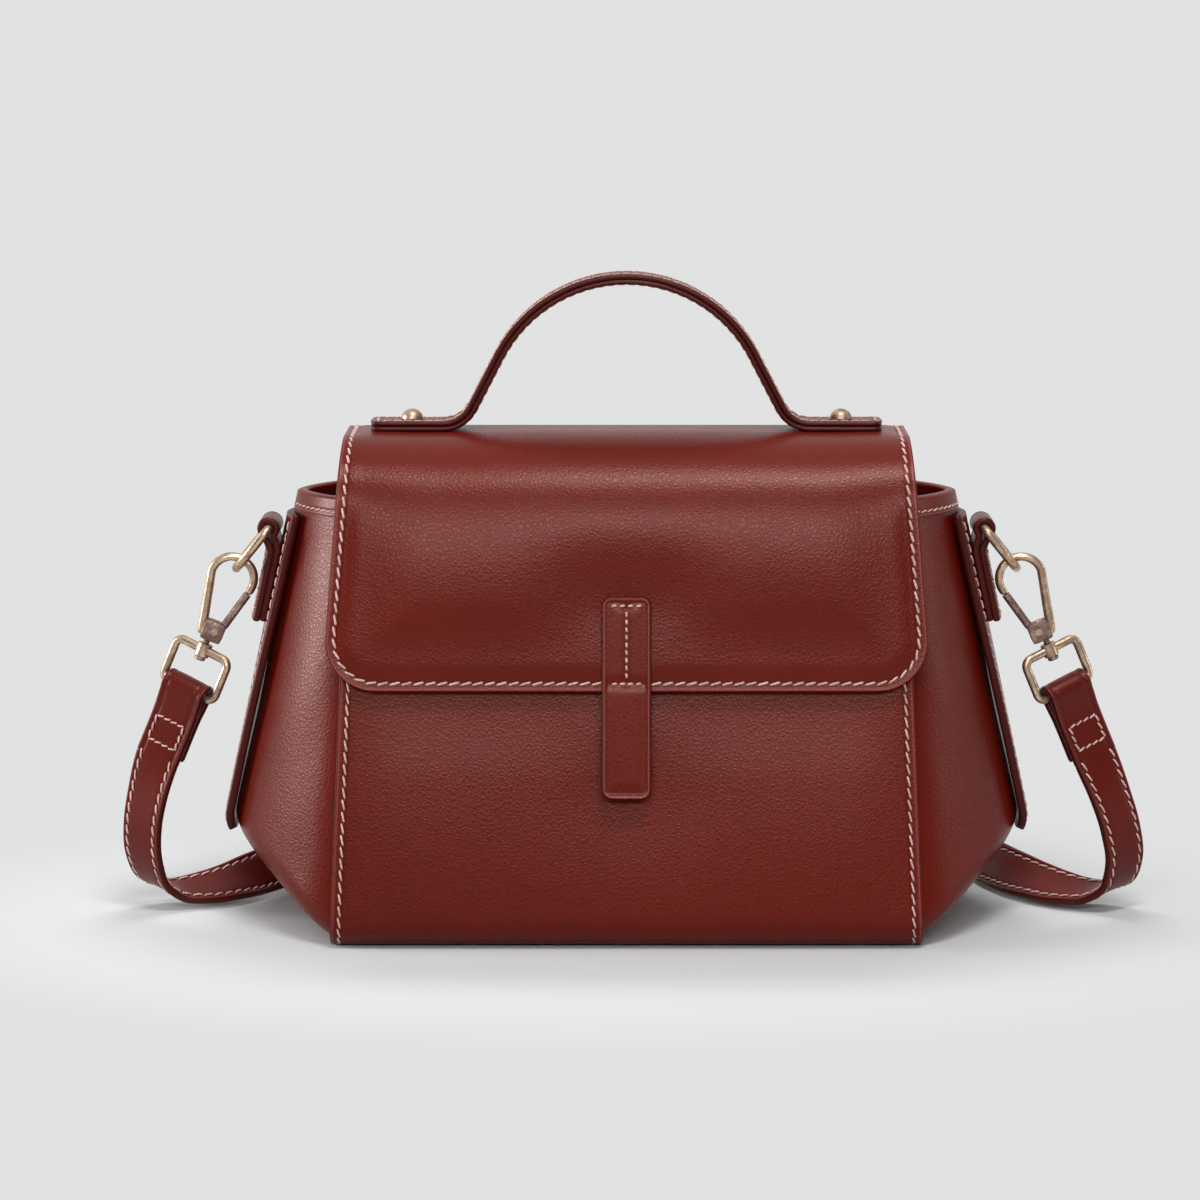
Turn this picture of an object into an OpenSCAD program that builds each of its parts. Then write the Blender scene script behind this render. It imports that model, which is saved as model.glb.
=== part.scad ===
// Leather flap bag with a top handle and a shoulder strap.
// Millimetres. The origin is on the floor under the middle of the base,
// X to the right, Y to the back, Z up.

/* [Body] */
// Width of the wrap panel at the base
base_w = 211; // [200:1:222]
// Width of the wrap panel at the mouth
mouth_w = 198; // [188:1:206]
// Depth of the body at the floor, front to back
base_d = 124.4; // [116:0.2:132]
// Depth of the body at the mouth, front to back
mouth_d = 62.4; // [58:0.2:68]
// Height of the front panel and of the gussets
body_h = 160; // [154:1:166]
// Height of the back panel above the front panel
back_rise = 10.4; // [9:0.2:12]
// Radius of the bends between the base and the walls
bend_r = 22; // [17:0.5:26]
// Thickness of the wrap leather
wrap_t = 2.2; // [1.8:0.1:2.6]
// Thickness of the front and back boards
board_t = 1.4; // [1:0.1:1.5]
// Thickness of the base board
base_board_t = 1.9; // [1.4:0.1:2]
// Thickness of the lining
lining_t = 0.6; // [0.4:0.1:0.9]
// Width of the inner pocket
pocket_w = 110; // [80:1:130]
// Height of the inner pocket
pocket_h = 72; // [50:1:90]

/* [Gussets] */
// How far a gusset stands out of its seam at the mouth
gusset_top_out = 26; // [23:0.5:29]
// How far a gusset stands out of its seam at its widest
gusset_wide_out = 48; // [44:0.5:52]
// Height of the widest line above the gusset's lower edge
gusset_wide_h = 33; // [30:1:38]
// Thickness of the gusset leather
gusset_t = 2; // [1.6:0.1:2.4]
// Distance of the gusset seam from the edge of the wrap panel
gusset_inset = 4; // [3:0.5:6]
// Width of the seam flange turned in under the wrap panel
flange_w = 8; // [6:0.5:10]
// Thickness of the rim binding
binding_t = 0.8; // [0.6:0.1:1]
// Height of the rim binding
binding_h = 6; // [5:0.5:8]

/* [Side strips and ring tabs] */
// Width of a side strip
strip_w = 28; // [24:1:34]
// Thickness of a side strip
strip_t = 3; // [2.4:0.1:3.4]
// Distance of the strip's top from the rim
strip_drop = 2.6; // [2:0.2:5]
// Height of the strip's lower end above the floor
strip_low = 34; // [30:1:40]
// Corner radius of the strip's lower end
strip_corner = 7; // [4:0.5:10]
// Width of a ring tab
tab_w = 17; // [14:0.5:17]
// Thickness of a ring tab, two layers
tab_t = 5; // [4:0.2:5.6]
// Distance of the ring tab's lower end below the rim
tab_drop = 48; // [42:1:54]

/* [Metal] */
// Wire diameter of the D-rings and swivel rings
wire_d = 3.3; // [2.8:0.1:3.4]
// Clear width inside a D-ring
dring_w = 20; // [19:0.5:23]
// Reach of a D-ring from its bar to its bow, outside
dring_reach = 22; // [20:0.5:25]
// Angle between a hanging D-ring and the side strip
dring_off = 26.67; // [22:0.01:32]
// Wire diameter of the hook's spine and arch
hook_d = 3.2; // [2.8:0.1:3.4]
// Angle between a hanging hook and the side strip
hook_off = 10.27; // [6:0.01:16]
// Turn of the swivel ring and strap about the hook's shank
ring_turn = 23; // [10:1:30]
// Clear width inside a swivel ring
swivel_w = 19.8; // [19.4:0.1:23]
// Height of a swivel ring between its bars, centre to centre
swivel_h = 16.4; // [15:0.2:19]
// Diameter of the gate pin
pin_d = 1.6; // [1.2:0.1:1.8]
// Diameter of the hook's stem
stem_d = 2.4; // [2:0.1:2.6]
// Diameter of the dome of a handle rivet
rivet_d = 8.1; // [7:0.1:9]
// Diameter of the shank of a handle rivet
rivet_shank_d = 3.2; // [2.6:0.1:3.6]

/* [Strap] */
// Width of the shoulder strap
strap_w = 18; // [16:0.5:18.4]
// Thickness of the shoulder strap
strap_t = 3; // [2.6:0.1:3.2]
// Length of the folded strap end below the swivel ring
fold_len = 26; // [22:1:27]

/* [Flap] */
// Distance of the flap's side beyond the outer end of a handle foot, at the crown
foot_margin = 8.8; // [6.8:0.2:11.4]
// Distance that each side of the flap gains from the crown to its lower corners
flap_flare = 5.2; // [2.6:0.1:7.4]
// Height of the flap's crown above the back panel
crown_rise = 11.6; // [10.6:0.2:14]
// Distance of the flap's lower edge below its crown
flap_drop = 88.6; // [82:0.2:94]
// Radius of the flap's front shoulder
shoulder_r = 28; // [24:0.5:31]
// Corner radius of the flap's lower corners
flap_corner = 18; // [12:0.5:24]
// Thickness of the flap's outer leather
flap_leather_t = 1.7; // [1.5:0.1:1.8]
// Thickness of the flap, all layers
flap_t = 3.5; // [3.4:0.1:3.8]
// Height of the flap tail sewn outside the back panel
tail_h = 18; // [14:0.5:24]

/* [Handle] */
// Height of the handle's top above the flap's crown
handle_rise = 58.4; // [50:0.2:66]
// Width of the handle
handle_w = 16; // [14:0.5:18]
// Thickness of one layer of the handle
handle_t = 1.9; // [1.6:0.1:2.2]
// Distance of the arch's radius short of half the distance between the feet's outer ends
arch_inset = 39.7; // [37.7:0.2:44.7]
// Slope of the handle's sides, degrees
handle_slope = 62.5; // [58:0.5:66]
// Radius of the curve above each foot
foot_r = 10; // [8:0.5:12]
// Distance between the outer ends of the feet
feet_span = 189.4; // [184:0.2:196]
// Distance of a rivet from the outer end of its foot
rivet_inset = 15.2; // [12:0.2:18]

/* [Closure] */
// Width of the closure tab
closure_w = 17; // [14:0.5:20]
// Thickness of the closure tab
closure_t = 2.6; // [2.2:0.1:3]
// Distance of the tab's upper end above the flap's lower edge
closure_up = 33.6; // [27:0.2:38]
// Distance of the tab's lower end below the flap's lower edge
closure_down = 37.4; // [31:0.2:44]
// Diameter of the magnetic snap
magnet_d = 14; // [12:0.5:14.5]
// Distance of the magnetic snap's centre below the flap's lower edge
magnet_down = 21.4; // [18:0.2:26]

/* [Hidden] */
// What the checks and the drawing use
$fn = 48;

// Clearance between sewn or glued pieces
fit = 0.15;
// Clearance of a turning pin in its bore, on the radius
run = 0.08;
// Clearance of the strap's fold round its bar, on the radius
loose = 0.35;
// Overrun of a cut past a face
over = 2;
// Number of straight steps in a bend
bend_steps = 7;

// The lean of the walls follows from the depths at the floor and at the mouth.
lean = atan((base_d - mouth_d) / 2 / body_h);
back_z = body_h + back_rise;
crown_z = back_z + crown_rise;
flap_low_z = crown_z - flap_drop;
handle_z = crown_z + handle_rise;
closure_top_z = flap_low_z + closure_up;
closure_low_z = flap_low_z - closure_down;
magnet_z = flap_low_z - magnet_down;
rivet_span = feet_span - 2 * rivet_inset;
flap_top_w = feet_span + 2 * foot_margin;
flap_low_w = flap_top_w + 2 * flap_flare;
arch_r = feet_span / 2 - arch_inset;
bend_y = base_d / 2 - bend_r * tan(lean) - bend_r / cos(lean);

function arc(centre, r, from, to, steps) =
    [for (k = [0 : steps]) centre + r * [cos(from + (to - from) * k / steps), sin(from + (to - from) * k / steps)]];
function reversed(list) = [for (k = [len(list) - 1 : -1 : 0]) list[k]];
function mirrored(list) = [for (p = reversed(list)) [-p[0], p[1]]];
function unit(v) = v / norm(v);

// Half the width of the wrap panel at height z
function panel_half(z) = base_w / 2 - (base_w - mouth_w) / 2 * z / body_h;
// Distance of a wall from the middle plane at height z, off being the depth under its outer face
function wall_y(z, off) = base_d / 2 - z * tan(lean) - off / cos(lean);
// The same with the bend at the base
function depth_at(z, off) =
    z >= bend_r + (bend_r - off) * sin(lean)
        ? wall_y(z, off)
        : bend_y + sqrt(max(0, pow(bend_r - off, 2) - pow(bend_r - z, 2)));
// The U of front, base and back in the YZ plane
function wrap_line(off, front_z, rear_z) = concat(
    [[-wall_y(front_z, off), front_z]],
    arc([-bend_y, bend_r], bend_r - off, 180 - lean, 270, bend_steps),
    arc([bend_y, bend_r], bend_r - off, 270, 360 + lean, bend_steps),
    [[wall_y(rear_z, off), rear_z]]);

// Draws a YZ outline and carries it along X
module along_x(width) {
    rotate([90, 0, 90])
        linear_extrude(width, center = true)
            children();
}

// Draws an XZ outline and carries it along Y
module along_y(width) {
    rotate([90, 0, 0])
        linear_extrude(width, center = true)
            children();
}

// Places a piece on the leaning front wall: local Z runs up the wall, local -Y points out
module on_front(z, off) {
    translate([0, -wall_y(z, off), z])
        rotate([-lean, 0, 0])
            children();
}

module left_of_right() {
    mirror([1, 0, 0])
        children();
}

// The front view of the wrap panel, narrowed by inset on each side
module panel_front_view(inset) {
    polygon([
        [-panel_half(-over) + inset, -over],
        [panel_half(-over) - inset, -over],
        [panel_half(back_z + over) - inset, back_z + over],
        [-panel_half(back_z + over) + inset, back_z + over]
    ]);
}

/* The wrap: one panel of leather, front, base and back */

// Bevel of the back panel's outer top edge, under the flap's fold
back_bevel = 1.4;
magnet_post_d = 2.8;

module magnet_bore(clear) {
    on_front(magnet_z, 0)
        rotate([90, 0, 0])
            cylinder(d = magnet_post_d + 2 * clear, h = 2 * base_board_t + 2 * wrap_t + over, center = true);
}

module wrap_panel() {
    color("#6b2119")
    difference() {
        intersection() {
            along_x(base_w + over)
                polygon(concat(
                    wrap_line(0, body_h, back_z - back_bevel),
                    [[wall_y(back_z, 0) - back_bevel, back_z]],
                    reversed(wrap_line(wrap_t, body_h, back_z))));
            along_y(base_d + over)
                panel_front_view(0);
        }
        magnet_bore(run);
    }
}

// Gap between the flap's fold and the tail's top edge
tail_gap = 2.4;
tail_t = flap_leather_t;
tail_side = 6;

module flap_tail() {
    top_z = back_z - tail_gap;
    color("#6b2119")
    along_x(2 * (panel_half(back_z) - tail_side))
        polygon([
            [wall_y(top_z - tail_h, -fit), top_z - tail_h],
            [wall_y(top_z - tail_h, -fit - tail_t), top_z - tail_h],
            [wall_y(top_z, -fit - tail_t), top_z],
            [wall_y(top_z, -fit), top_z]
        ]);
}

/* The gussets: a height field x(y, z) that swells to its widest line near the base */

gusset_low = wrap_t + fit;
wide_z = gusset_low + gusset_wide_h;
// Shape of the gusset across the bag: a bar curve whose power sets how sharp the ridge is
ridge_power = 1.45;
// How softly the side meets the underside
knee = 14;
gusset_rows = 20;
gusset_cols = 16;
// Step of the slope measure
probe = 0.5;

function seam_x(z) = panel_half(z) - gusset_inset;
function gusset_depth(z) = depth_at(z, wrap_t + fit);
function soft_min(a, b, k) = min(a, b) - pow(max(k - abs(a - b), 0) / k, 2) * k / 4;
function side_out(z) =
    gusset_top_out + (gusset_wide_out - gusset_top_out) * (body_h - z) / (body_h - wide_z);
function under_out(z) = gusset_wide_out * max(0, z - gusset_low) / gusset_wide_h;
function bulge(share) = pow(max(0, 1 - pow(min(1, abs(share)), ridge_power)), 1 / ridge_power);
function gusset_x(y, z) =
    seam_x(z) + max(0, soft_min(side_out(z) * bulge(y / gusset_depth(z)), under_out(z) + knee / 4, knee));
function rise_slope(y, z) = (gusset_x(y, z + probe) - gusset_x(y, z - probe)) / (2 * probe);
function cross_slope(y, z) = (gusset_x(y + probe, z) - gusset_x(y - probe, z)) / (2 * probe);
// A point off the gusset's outer face by a given distance along its normal
function gusset_off(y, z, off) =
    [gusset_x(y, z), y, z] + off * unit([1, -cross_slope(y, z), -rise_slope(y, z)]);

// Rows lie closer near the underside
function row_z(i) = gusset_low + (body_h - gusset_low) * pow(i / gusset_rows, 1.6);
function gusset_outer_row(z) = concat(
    [[seam_x(z) - flange_w, -gusset_depth(z), z]],
    [for (j = [0 : gusset_cols]) let (s = sin(-90 + 180 * j / gusset_cols))
        [gusset_x(s * gusset_depth(z), z), s * gusset_depth(z), z]],
    [[seam_x(z) - flange_w, gusset_depth(z), z]]);
function gusset_inner_x(s, z) = max(
    gusset_x(s * gusset_depth(z), z) - gusset_t * sqrt(1 + pow(rise_slope(s * gusset_depth(z), z), 2)),
    seam_x(z) - flange_w + fit);
function gusset_inner_row(z) = let (half = gusset_depth(z) - gusset_t) concat(
    [[seam_x(z) - flange_w, -half, z]],
    [for (j = [0 : gusset_cols]) let (s = sin(-90 + 180 * j / gusset_cols))
        [gusset_inner_x(s, z), s * half, z]],
    [[seam_x(z) - flange_w, half, z]]);

// Faces of a closed sheet between an outer and an inner grid of rows x cols points
function sheet_faces(rows, cols) = let (m = rows * cols) concat(
    [for (i = [0 : rows - 2], j = [0 : cols - 2]) each
        [[i * cols + j, (i + 1) * cols + j + 1, i * cols + j + 1],
         [i * cols + j, (i + 1) * cols + j, (i + 1) * cols + j + 1]]],
    [for (i = [0 : rows - 2], j = [0 : cols - 2]) each
        [[m + i * cols + j, m + i * cols + j + 1, m + (i + 1) * cols + j + 1],
         [m + i * cols + j, m + (i + 1) * cols + j + 1, m + (i + 1) * cols + j]]],
    [for (j = [0 : cols - 2]) each
        [[j, j + 1, m + j + 1],
         [j, m + j + 1, m + j]]],
    [for (j = [0 : cols - 2]) let (t = (rows - 1) * cols) each
        [[t + j, m + t + j + 1, t + j + 1],
         [t + j, m + t + j, m + t + j + 1]]],
    [for (i = [0 : rows - 2]) let (a = i * cols, b = (i + 1) * cols) each
        [[a, m + a, m + b],
         [a, m + b, b]]],
    [for (i = [0 : rows - 2]) let (a = i * cols + cols - 1, b = (i + 1) * cols + cols - 1) each
        [[a, m + b, m + a],
         [a, b, m + b]]]);

module sheet(outer, inner) {
    polyhedron(
        points = concat([for (row = outer) each row], [for (row = inner) each row]),
        faces = sheet_faces(len(outer), len(outer[0])),
        convexity = 6);
}

module gusset_shell() {
    sheet(
        [for (i = [0 : gusset_rows]) gusset_outer_row(row_z(i))],
        [for (i = [0 : gusset_rows]) gusset_inner_row(row_z(i))]);
}

module gusset_right() {
    color("#70241b")
    gusset_shell();
}

module gusset_left() {
    color("#70241b")
    left_of_right() gusset_shell();
}

/* Rim bindings: a folded strip of leather over the top edge of each gusset */

// Columns of the gusset, counted from its edge, that the binding leaves bare
bare_cols = 2;

// The U of the binding at one column of the gusset, s being the share of the depth
function rim_out(s, z, d) = let (
        z_on = min(z, body_h),
        y = s * gusset_depth(z_on),
        p = [gusset_x(y, z_on), y] + d * unit([1, -cross_slope(y, min(z_on, body_h - probe))]))
    [p[0], p[1], z];
function rim_in(s, z, d) = let (z_on = min(z, body_h))
    [gusset_inner_x(s, z_on) - d, s * (gusset_depth(z_on) - gusset_t - d), z];
function binding_station(s) = let (
        low = body_h - binding_h,
        top = body_h + fit,
        skin = fit + binding_t)
    [rim_out(s, low, skin), rim_out(s, top + binding_t, skin), rim_in(s, top + binding_t, skin), rim_in(s, low, skin),
     rim_in(s, low, fit), rim_in(s, top, fit), rim_out(s, top, fit), rim_out(s, low, fit)];
// Triangles that close the end of a U of eight points
u_cap = [[7, 6, 0], [6, 1, 0], [6, 5, 1], [5, 2, 1], [5, 4, 2], [4, 3, 2]];

// The sides of a closed tube through rings of equal size
function tube_sides(rings, sides) =
    [for (i = [0 : rings - 2], j = [0 : sides - 1]) let (k = (j + 1) % sides) each
        [[i * sides + j, i * sides + k, (i + 1) * sides + k],
         [i * sides + j, (i + 1) * sides + k, (i + 1) * sides + j]]];
function tube_faces(rings, sides) = concat(
    tube_sides(rings, sides),
    [[for (j = [sides - 1 : -1 : 0]) j]],
    [[for (j = [0 : sides - 1]) (rings - 1) * sides + j]]);

module tube(rings) {
    polyhedron(
        points = [for (ring = rings) each ring],
        faces = tube_faces(len(rings), len(rings[0])),
        convexity = 6);
}

module rim_binding() {
    rings = [for (j = [bare_cols : gusset_cols - bare_cols])
        binding_station(sin(-90 + 180 * j / gusset_cols))];
    sides = len(rings[0]);
    last = (len(rings) - 1) * sides;
    color("#5c1b15")
    polyhedron(
        points = [for (ring = rings) each ring],
        faces = concat(
            tube_sides(len(rings), sides),
            u_cap,
            [for (t = u_cap) [last + t[2], last + t[1], last + t[0]]]),
        convexity = 6);
}

module rim_binding_right() {
    rim_binding();
}

module rim_binding_left() {
    left_of_right() rim_binding();
}

/* Side strips: leather down the ridge of each gusset */

strip_rows = 16;
strip_cols = 10;
strip_top = body_h - binding_h - strip_drop + fit;

function strip_z(i) = i < 4
    ? strip_low + strip_corner * (1 - cos(90 * i / 4))
    : strip_low + strip_corner + (strip_top - strip_low - strip_corner) * (i - 4) / (strip_rows - 4);
function strip_half(z) = z < strip_low + strip_corner
    ? strip_w / 2 - strip_corner + sqrt(max(0, pow(strip_corner, 2) - pow(strip_low + strip_corner - z, 2)))
    : strip_w / 2;
function strip_row(z, off) =
    [for (j = [0 : strip_cols]) gusset_off(strip_half(z) * (2 * j / strip_cols - 1), z, off)];

module side_strip() {
    color("#66201a")
    sheet(
        [for (i = [0 : strip_rows]) strip_row(strip_z(i), fit + strip_t)],
        [for (i = [0 : strip_rows]) strip_row(strip_z(i), fit)]);
}

module side_strip_right() {
    side_strip();
}

module side_strip_left() {
    left_of_right() side_strip();
}

/* Ring tabs: a loop of leather round the D-ring's bar, its two legs sewn to the strip */

// Height of the D-ring's bar, and of the ring tab's lower end
bar_drop_rim = 13;
bar_z = body_h - bar_drop_rim;
tab_low = body_h - tab_drop;
// Radius of the tab's loop
loop_r = wire_d / 2 + run + tab_t / 2;
tab_rows = 6;
tab_cols = 4;
// Height at which the legs join the loop
tab_join_z = bar_z - 7.5;
// How far the legs follow the bend of the strip at their upper and lower ends
tab_bend_shares = [0.35, 1];

// Outer face of the strip on the ridge, at height z
function strip_face_x(z) = gusset_x(0, z) + (fit + strip_t) * sqrt(1 + pow(rise_slope(0, z), 2));
function strip_drop_x(y, z) = gusset_x(0, z) - gusset_x(y, z);
bar_x = strip_face_x(bar_z) + loop_r + 0.9;

function tab_point(y, z, off) = let (
        rise = (z - tab_low) / (tab_join_z - tab_low),
        bend = tab_bend_shares[1] + (tab_bend_shares[0] - tab_bend_shares[1]) * min(1, rise))
    [strip_face_x(z) + fit + off - bend * strip_drop_x(y, z), y, z];
function tab_row(z, off) =
    [for (j = [0 : tab_cols]) tab_point(tab_w / 2 * (2 * j / tab_cols - 1), z, off)];

module ring_tab() {
    leg_x = strip_face_x(tab_join_z) + fit;
    color("#5f1d17")
    difference() {
        union() {
            along_y(tab_w)
                union() {
                    translate([bar_x, bar_z])
                        circle(loop_r);
                    polygon([
                        [leg_x, tab_join_z],
                        [leg_x + tab_t, tab_join_z],
                        [bar_x + loop_r * cos(-20), bar_z + loop_r * sin(-20)],
                        [bar_x, bar_z],
                        [bar_x + loop_r * cos(200), bar_z + loop_r * sin(200)]
                    ]);
                }
            sheet(
                [for (i = [0 : tab_rows]) tab_row(tab_low + (tab_join_z + tab_t / 2 - tab_low) * i / tab_rows, tab_t)],
                [for (i = [0 : tab_rows]) tab_row(tab_low + (tab_join_z + tab_t / 2 - tab_low) * i / tab_rows, 0)]);
        }
        translate([bar_x, 0, bar_z])
            rotate([90, 0, 0])
                cylinder(d = wire_d + 2 * run, h = tab_w + over, center = true);
    }
}

module ring_tab_right() {
    ring_tab();
}

module ring_tab_left() {
    left_of_right() ring_tab();
}

/* Rings of round wire */

// Whatever hangs from the ring tab stands off the side strip, so its angle from upright follows the strip's
side_lean = atan(-rise_slope(0, bar_z));
dring_lean = side_lean + dring_off;
hook_tilt = side_lean + hook_off;
// Bend radius of a D-ring's corners
dring_corner = 2.8;
dring_half = (dring_w + wire_d) / 2;
dring_run = dring_reach - wire_d / 2 - dring_half;

// A rod from one point to another
module rod(from, to, d) {
    v = to - from;
    translate(from)
        rotate([0, acos(v[2] / norm(v)), atan2(v[1], v[0])])
            cylinder(d = d, h = norm(v));
}

// A quarter or half turn of wire in the local YZ plane: the bend starts at from, turned by sweep
module wire_bend(centre, r, from, sweep, d) {
    translate(centre)
        rotate([90, 0, 90])
            rotate([0, 0, from])
                rotate_extrude(angle = sweep)
                    translate([r, 0])
                        circle(d = d);
}

// The D-ring hangs down its local Z from its bar, which lies along Y
module dring() {
    color("#d8bf8e")
    translate([bar_x, 0, bar_z])
        rotate([0, 180 - dring_lean, 0]) {
            rod([0, -dring_half + dring_corner, 0], [0, dring_half - dring_corner, 0], wire_d);
            for (side = [-1, 1])
                rod([0, side * dring_half, dring_corner], [0, side * dring_half, dring_run], wire_d);
            wire_bend([0, dring_half - dring_corner, dring_corner], dring_corner, 270, 90, wire_d);
            wire_bend([0, -dring_half + dring_corner, dring_corner], dring_corner, 180, 90, wire_d);
            wire_bend([0, 0, dring_run], dring_half, 0, 180, wire_d);
        }
}

module dring_right() {
    dring();
}

module dring_left() {
    left_of_right() dring();
}

/* Snap hooks: a cast body with a sprung gate, on a stem that turns in the swivel ring */

// The hook hangs in the D-ring's bow; local Z runs up its shank, local X away from the bag
dring_far = dring_reach - wire_d / 2;
bow_x = bar_x + dring_far * sin(dring_lean);
bow_z = bar_z - dring_far * cos(dring_lean);
hook_arch_r = 8.1;
hook_arch_z = 21.2;
hook_rest_z = hook_arch_z + hook_arch_r - hook_d / 2 - wire_d / 2 - 0.55;
hook_x = bow_x + hook_rest_z * sin(hook_tilt);
hook_z = bow_z - hook_rest_z * cos(hook_tilt);
block_size = [8, 6.4, 7.4];
block_shift = -0.9;
slot_w = 3;
spine_foot_x = 3.2;
nose_angle = 192;
// Places on the hook, in the hook's XZ plane
gate_pin = [-1.4, 0.2];
gate_knee = [-3.9, 3.4];
gate_tip_gap = 0.35;
gate_d = 3;
cheek_d = 4.6;
cheek_w = 2.2;
// Blind end of the slot in the hook's block
slot_x = gate_pin[0] + cheek_d / 2 + 2 * fit;
collar_d = 5.6;
collar_h = 4.8;
bar_drop = 8;
stem_head_d = 4.2;
stem_head_h = 1.4;

module in_hook() {
    translate([hook_x, 0, hook_z])
        rotate([0, -hook_tilt, 0])
            children();
}

function at_hook(p) = [p[0], 0, p[1]];
nose = [hook_arch_r * cos(nose_angle), hook_arch_z + hook_arch_r * sin(nose_angle)];
spine_top = [hook_arch_r, hook_arch_z];
spine_foot = [spine_foot_x, -1];

module hook_body() {
    color("#d3b985")
    in_hook()
    difference() {
        union() {
            translate([0, 0, hook_arch_z])
                rotate([90, 0, 0])
                    rotate_extrude(angle = nose_angle)
                        translate([hook_arch_r, 0])
                            circle(d = hook_d);
            rod(at_hook(spine_foot), at_hook(spine_top), hook_d);
            translate(at_hook(spine_top))
                sphere(d = hook_d);
            translate([block_shift - block_size[0] / 2, -block_size[1] / 2, -block_size[2] / 2])
                cube(block_size);
            translate([0, 0, -bar_drop - collar_h / 2 - fit - stem_head_h])
                cylinder(d = stem_d, h = bar_drop + collar_h / 2 + fit + stem_head_h);
            translate([0, 0, -bar_drop - collar_h / 2 - 2 * fit - stem_head_h])
                cylinder(d = stem_head_d, h = stem_head_h);
        }
        // Slot for the gate's cheek, open to the top and to the gate's side
        translate([slot_x - block_size[0] - over, -slot_w / 2, -block_size[2] / 2 + stem_d / 2])
            cube([block_size[0] + over, slot_w, block_size[2] + over]);
        translate(at_hook(gate_pin))
            rotate([90, 0, 0])
                cylinder(d = pin_d + run, h = block_size[1] + over, center = true);
    }
}

module hook_right() {
    hook_body();
}

module hook_left() {
    left_of_right() hook_body();
}

module gate() {
    tip = nose - gate_tip_gap * unit(nose - gate_knee) - hook_d / 2 * unit(nose - gate_knee);
    color("#cdb27c")
    in_hook()
    difference() {
        union() {
            translate(at_hook(gate_pin))
                rotate([90, 0, 0])
                    cylinder(d = cheek_d, h = cheek_w, center = true);
            along_y(cheek_w)
                polygon([
                    gate_pin + cheek_d / 2 * [0.4, 0.9],
                    gate_pin - cheek_d / 2 * [0.9, 0.4],
                    gate_knee + gate_d / 2 * [-0.9, 0.2],
                    gate_knee + gate_d / 2 * [0.9, 0.4]
                ]);
            rod(at_hook(gate_knee), at_hook(tip), gate_d);
            translate(at_hook(gate_knee))
                sphere(d = gate_d);
        }
        translate(at_hook(gate_pin))
            rotate([90, 0, 0])
                cylinder(d = pin_d + 2 * run, h = cheek_w + over, center = true);
    }
}

module gate_right() {
    gate();
}

module gate_left() {
    left_of_right() gate();
}

pin_head_d = 2.6;
pin_head_h = 0.4;

module gate_rivet() {
    color("#b39a68")
    in_hook()
    translate(at_hook(gate_pin))
        rotate([90, 0, 0]) {
            cylinder(d = pin_d, h = block_size[1] + 2 * fit, center = true);
            for (end = [-1, 1])
                translate([0, 0, end * (block_size[1] / 2 + fit / 2 + pin_head_h / 2)])
                    cylinder(d = pin_head_d, h = pin_head_h, center = true);
        }
}

module gate_rivet_right() {
    gate_rivet();
}

module gate_rivet_left() {
    left_of_right() gate_rivet();
}

// The gate's spring: a small steel leaf on the floor of the slot
spring_t = 0.3;
spring_w = 2;

module gate_spring() {
    floor_z = -block_size[2] / 2 + stem_d / 2;
    color("#8d8f92")
    in_hook()
    translate([block_shift - block_size[0] / 2 + spring_t, -spring_w / 2, floor_z + fit / 2])
        cube([cheek_d, spring_w, spring_t]);
}

module gate_spring_right() {
    gate_spring();
}

module gate_spring_left() {
    left_of_right() gate_spring();
}

/* Swivel rings: rounded rectangles of wire with a collar for the hook's stem */

swivel_corner = 3;
swivel_half = (swivel_w + wire_d) / 2;

module in_ring() {
    in_hook()
        rotate([0, 0, ring_turn])
            children();
}

// A quarter turn of wire in the local XZ plane
module wire_corner(centre, r, from, d) {
    translate([centre[0], 0, centre[1]])
        rotate([90, 0, 0])
            rotate([0, 0, from])
                rotate_extrude(angle = 90)
                    translate([r, 0])
                        circle(d = d);
}

module swivel_ring() {
    low = -bar_drop - swivel_h;
    in_x = swivel_half - swivel_corner;
    color("#dcc494")
    in_ring()
    difference() {
        union() {
            rod([-in_x, 0, -bar_drop], [in_x, 0, -bar_drop], wire_d);
            rod([-in_x, 0, low], [in_x, 0, low], wire_d);
            for (side = [-1, 1])
                rod([side * swivel_half, 0, low + swivel_corner], [side * swivel_half, 0, -bar_drop - swivel_corner],
                    wire_d);
            wire_corner([in_x, -bar_drop - swivel_corner], swivel_corner, 0, wire_d);
            wire_corner([-in_x, -bar_drop - swivel_corner], swivel_corner, 90, wire_d);
            wire_corner([-in_x, low + swivel_corner], swivel_corner, 180, wire_d);
            wire_corner([in_x, low + swivel_corner], swivel_corner, 270, wire_d);
            translate([0, 0, -bar_drop])
                cylinder(d = collar_d, h = collar_h, center = true);
        }
        translate([0, 0, -bar_drop])
            cylinder(d = stem_d + 2 * run, h = collar_h + over, center = true);
    }
}

module swivel_ring_right() {
    swivel_ring();
}

module swivel_ring_left() {
    left_of_right() swivel_ring();
}

/* Strap ends: the strap folded round the swivel ring's lower bar and box-stitched to itself */

fold_z = -bar_drop - swivel_h;
fold_r = wire_d / 2 + loose + strap_t;
fold_gap = 0.1;
fold_taper = 8;
strap_on_z = fold_z - fold_len - 2 * over / 3;

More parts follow.
